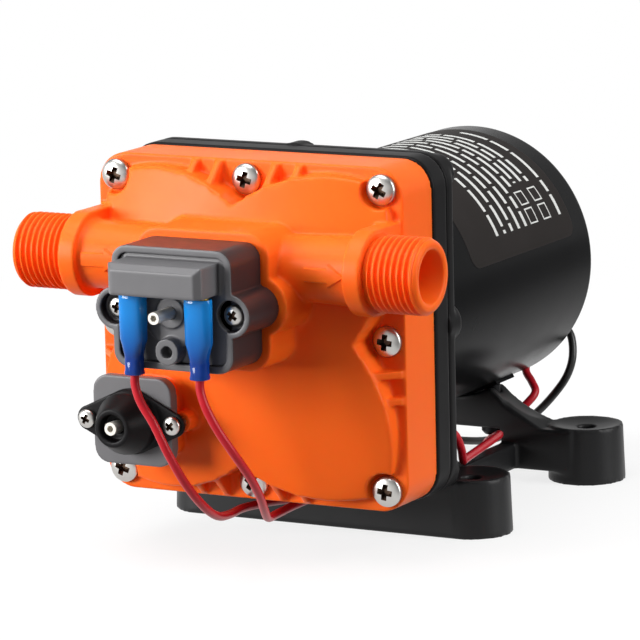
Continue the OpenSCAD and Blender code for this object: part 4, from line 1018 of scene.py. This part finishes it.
# %% [markdown]
# ## Blue spade sleeves
# Each sleeve is a thin clear nylon hood: flat and wide round the blade, then drawn in to a barrel that
# grips the wire, with a crimp dent in the barrel. It is lofted from rounded sections, down its outside
# and up its inside. A power below 1 on the sine and the cosine squares a section's corners a little.

# %% Sleeves
SPADE_X, SPADE_Y = 10, -46.1
OUTSIDE = [
    (17.2, 3.85, 2.4), (16.9, 3.93, 2.52), (16, 3.95, 2.55), (9, 3.92, 2.5), (5.2, 3.88, 2.4),
    (3.8, 3.3, 2.45), (2, 2.75, 2.55), (0.8, 2.45, 2.45), (-0.1, 2.65, 2.15), (-1, 2.45, 2.45),
    (-2.9, 2.45, 2.45), (-3.9, 2.65, 2.65), (-4.3, 2.55, 2.55)]
INSIDE = [(-4.3, 1.5, 1.5), (1, 1.5, 1.5), (5, 3.3, 1.5), (17, 3.35, 1.6)]
SLEEVE_SIDES = 32
SQUARENESS = 0.82


def squared(value):
    """A sine or a cosine, pushed outwards."""
    return math.copysign(abs(value) ** SQUARENESS, value)


def sleeve(name, x):
    """A sleeve lofted through sections of (z, half width, half depth)."""
    bm = bmesh.new()
    rings = []
    for z, half_w, half_d in OUTSIDE + INSIDE:
        rings.append([bm.verts.new(at_head(x + half_w * squared(math.cos(t)),
                                           SPADE_Y + half_d * squared(math.sin(t)), z))
                      for t in circle(SLEEVE_SIDES)])
    skin(bm, rings + rings[:1])
    return finish_piece(name, bm, blue_nylon, smooth_angle=60)


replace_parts(sleeve("spade_sleeve_left", -SPADE_X), "spade_sleeves")
sleeve("spade_sleeve_right", SPADE_X)

# %% [markdown]
# ## Springs
# Coil springs push the two brushes, the switch plunger and the bypass poppet. Each is a piece of its own,
# with a mesh of its own.

# %% Springs


def spring(name, node, side=0):
    """A spring from its solid, or from the half of it on one side, as a piece with a mesh of its own."""
    bm = bmesh.new()
    bm.from_mesh(nodes[node].data)
    bm.transform(nodes[node].matrix_world)
    other = [v for v in bm.verts if v.co.x * side < 0]
    bmesh.ops.delete(bm, geom=other, context="VERTS")
    piece = finish_piece(name, bm, spring_steel)
    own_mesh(piece)
    return piece


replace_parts(spring("brush_spring_left", "brush_springs", -1), "brush_springs")
spring("brush_spring_right", "brush_springs", 1)
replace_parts(spring("switch_spring_coil", "switch_spring"), "switch_spring")
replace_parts(spring("bypass_spring_coil", "bypass_spring"), "bypass_spring")

# %% [markdown]
# ## Floor, backdrop and light
# The photograph has a plain white ground. The floor looks white to the camera and in reflections, while
# lamps at a plain level do the lighting, so it still takes the pump's shadow. Sides that face right
# mirror a darker part of the room, so the floor is dimmer there in reflections. Near the pump a share of
# plain paper is mixed in, which is what shows the shadow. Distances are in metres here.

# %% Floor
FLOOR_HALF = 4
FLOOR_RIGHT, FLOOR_RIGHT_DIM = (0.06, 0.16), 0.3
PAPER_NEAR, PAPER_FAR, GLOW_NEAR = 0.12, 0.4, 0.8
CORNERS = [(FLOOR_HALF * x, FLOOR_HALF * y, 0) for x, y in ((-1, -1), (1, -1), (1, 1), (-1, 1))]


def white_level(owner, mirrored):
    """1 to the camera and through clear pieces, and this much in reflections."""
    paths = add(owner, "LightPath", {}).outputs
    seen = add(owner, "Math", {0: paths["Is Camera Ray"], 1: paths["Is Transmission Ray"]},
               operation="MAXIMUM")
    mirror = add(owner, "Math", {0: paths["Is Glossy Ray"], 1: mirrored}, operation="MULTIPLY")
    return add(owner, "Math", {0: seen.outputs[0], 1: mirror.outputs[0]}, operation="MAXIMUM").outputs[0]


paper = bpy.data.materials.new("white_paper_sweep")
paper.use_nodes = True
tree = paper.node_tree
tree.nodes.remove(tree.nodes["Principled BSDF"])
place = add(paper, "TexCoord", {}).outputs["Object"]
across = add(paper, "SeparateXYZ", {0: place})
dimmed = add(paper, "MapRange", {"Value": across.outputs["X"], "From Min": FLOOR_RIGHT[0],
                                 "From Max": FLOOR_RIGHT[1], "To Min": 1.0, "To Max": FLOOR_RIGHT_DIM})
lit = add(paper, "BsdfDiffuse", {"Color": linear("#f4f4f4")})
glow = add(paper, "Emission", {"Color": linear("#ffffff"),
                               "Strength": white_level(paper, dimmed.outputs["Result"])})
away = add(paper, "VectorMath", {0: place}, operation="LENGTH")
fade = add(paper, "MapRange", {"Value": away.outputs["Value"], "From Min": PAPER_NEAR,
                               "From Max": PAPER_FAR, "To Min": GLOW_NEAR, "To Max": 1.0})
mixed = add(paper, "MixShader", {0: fade.outputs["Result"], 1: lit.outputs[0], 2: glow.outputs[0]})
tree.links.new(mixed.outputs[0], tree.nodes["Material Output"].inputs["Surface"])

mesh = bpy.data.meshes.new("floor")
mesh.from_pydata(CORNERS, [], [(0, 1, 2, 3)])
mesh.materials.append(paper)
put(bpy.data.objects.new("floor", mesh))
print("floor", 2 * FLOOR_HALF, "m wide")

# %% [markdown]
# The world is white to the camera too. In reflections it is dimmer towards the ceiling and the right,
# which keeps the tops and the right sides of black pieces black. To everything else it is a faint, even
# light.

# %% World
CEILING, CEILING_DIM = (0.1, 0.6), 0.3
WORLD_RIGHT, WORLD_RIGHT_DIM = (0.2, 0.7), 0.4
EVEN_LIGHT = 0.28

world = bpy.data.worlds.new("white_room")
bpy.context.scene.world = world
world.use_nodes = True
way = add(world, "SeparateXYZ", {0: add(world, "TexCoord", {}).outputs["Generated"]})
upper = add(world, "MapRange", {"Value": way.outputs["Z"], "From Min": CEILING[0],
                                "From Max": CEILING[1], "To Min": 1.0, "To Max": CEILING_DIM})
dimmed = add(world, "MapRange", {"Value": way.outputs["X"], "From Min": WORLD_RIGHT[0],
                                 "From Max": WORLD_RIGHT[1], "To Min": 1.0, "To Max": WORLD_RIGHT_DIM})
walls = add(world, "Math", {0: upper.outputs["Result"], 1: dimmed.outputs["Result"]},
            operation="MULTIPLY")
strength = add(world, "Math", {0: white_level(world, walls.outputs[0]), 1: EVEN_LIGHT},
               operation="MAXIMUM")
background = world.node_tree.nodes["Background"]
background.inputs["Color"].default_value = linear("#ffffff")
world.node_tree.links.new(strength.outputs[0], background.inputs["Strength"])
print("even light from the world:", EVEN_LIGHT)

# %% [markdown]
# Three soft lamps light the pump: one above, one at the right, and the brightest at the front left, which
# models the crown.

# %% Lamps


def softbox(name, place, aim, size, watts):
    """A rectangular lamp at a place, turned towards its aim, all in metres."""
    data = bpy.data.lights.new(name, "AREA")
    data.shape = "RECTANGLE"
    data.size, data.size_y = size
    data.energy = watts
    lamp = put(bpy.data.objects.new(name, data))
    lamp.location = place
    lamp.rotation_euler = (Vector(aim) - Vector(place)).to_track_quat("-Z", "Y").to_euler()
    print(name, watts, "W")


softbox("top_softbox", place=(-0.2, -0.35, 1.0), aim=(0, 0, 0.05), size=(0.8, 0.8), watts=9)
softbox("right_softbox", place=(1.0, 0.1, 0.45), aim=(0, 0, 0.06), size=(0.5, 0.9), watts=9.5)
softbox("front_key", place=(-0.9, -1.02, 0.36), aim=(0, -0.08, 0.06), size=(0.6, 0.6), watts=24)

# %% [markdown]
# ## View settings
# The Standard view transform shows colours as they are written.

# %% View transform
bpy.context.scene.view_settings.view_transform = "Standard"
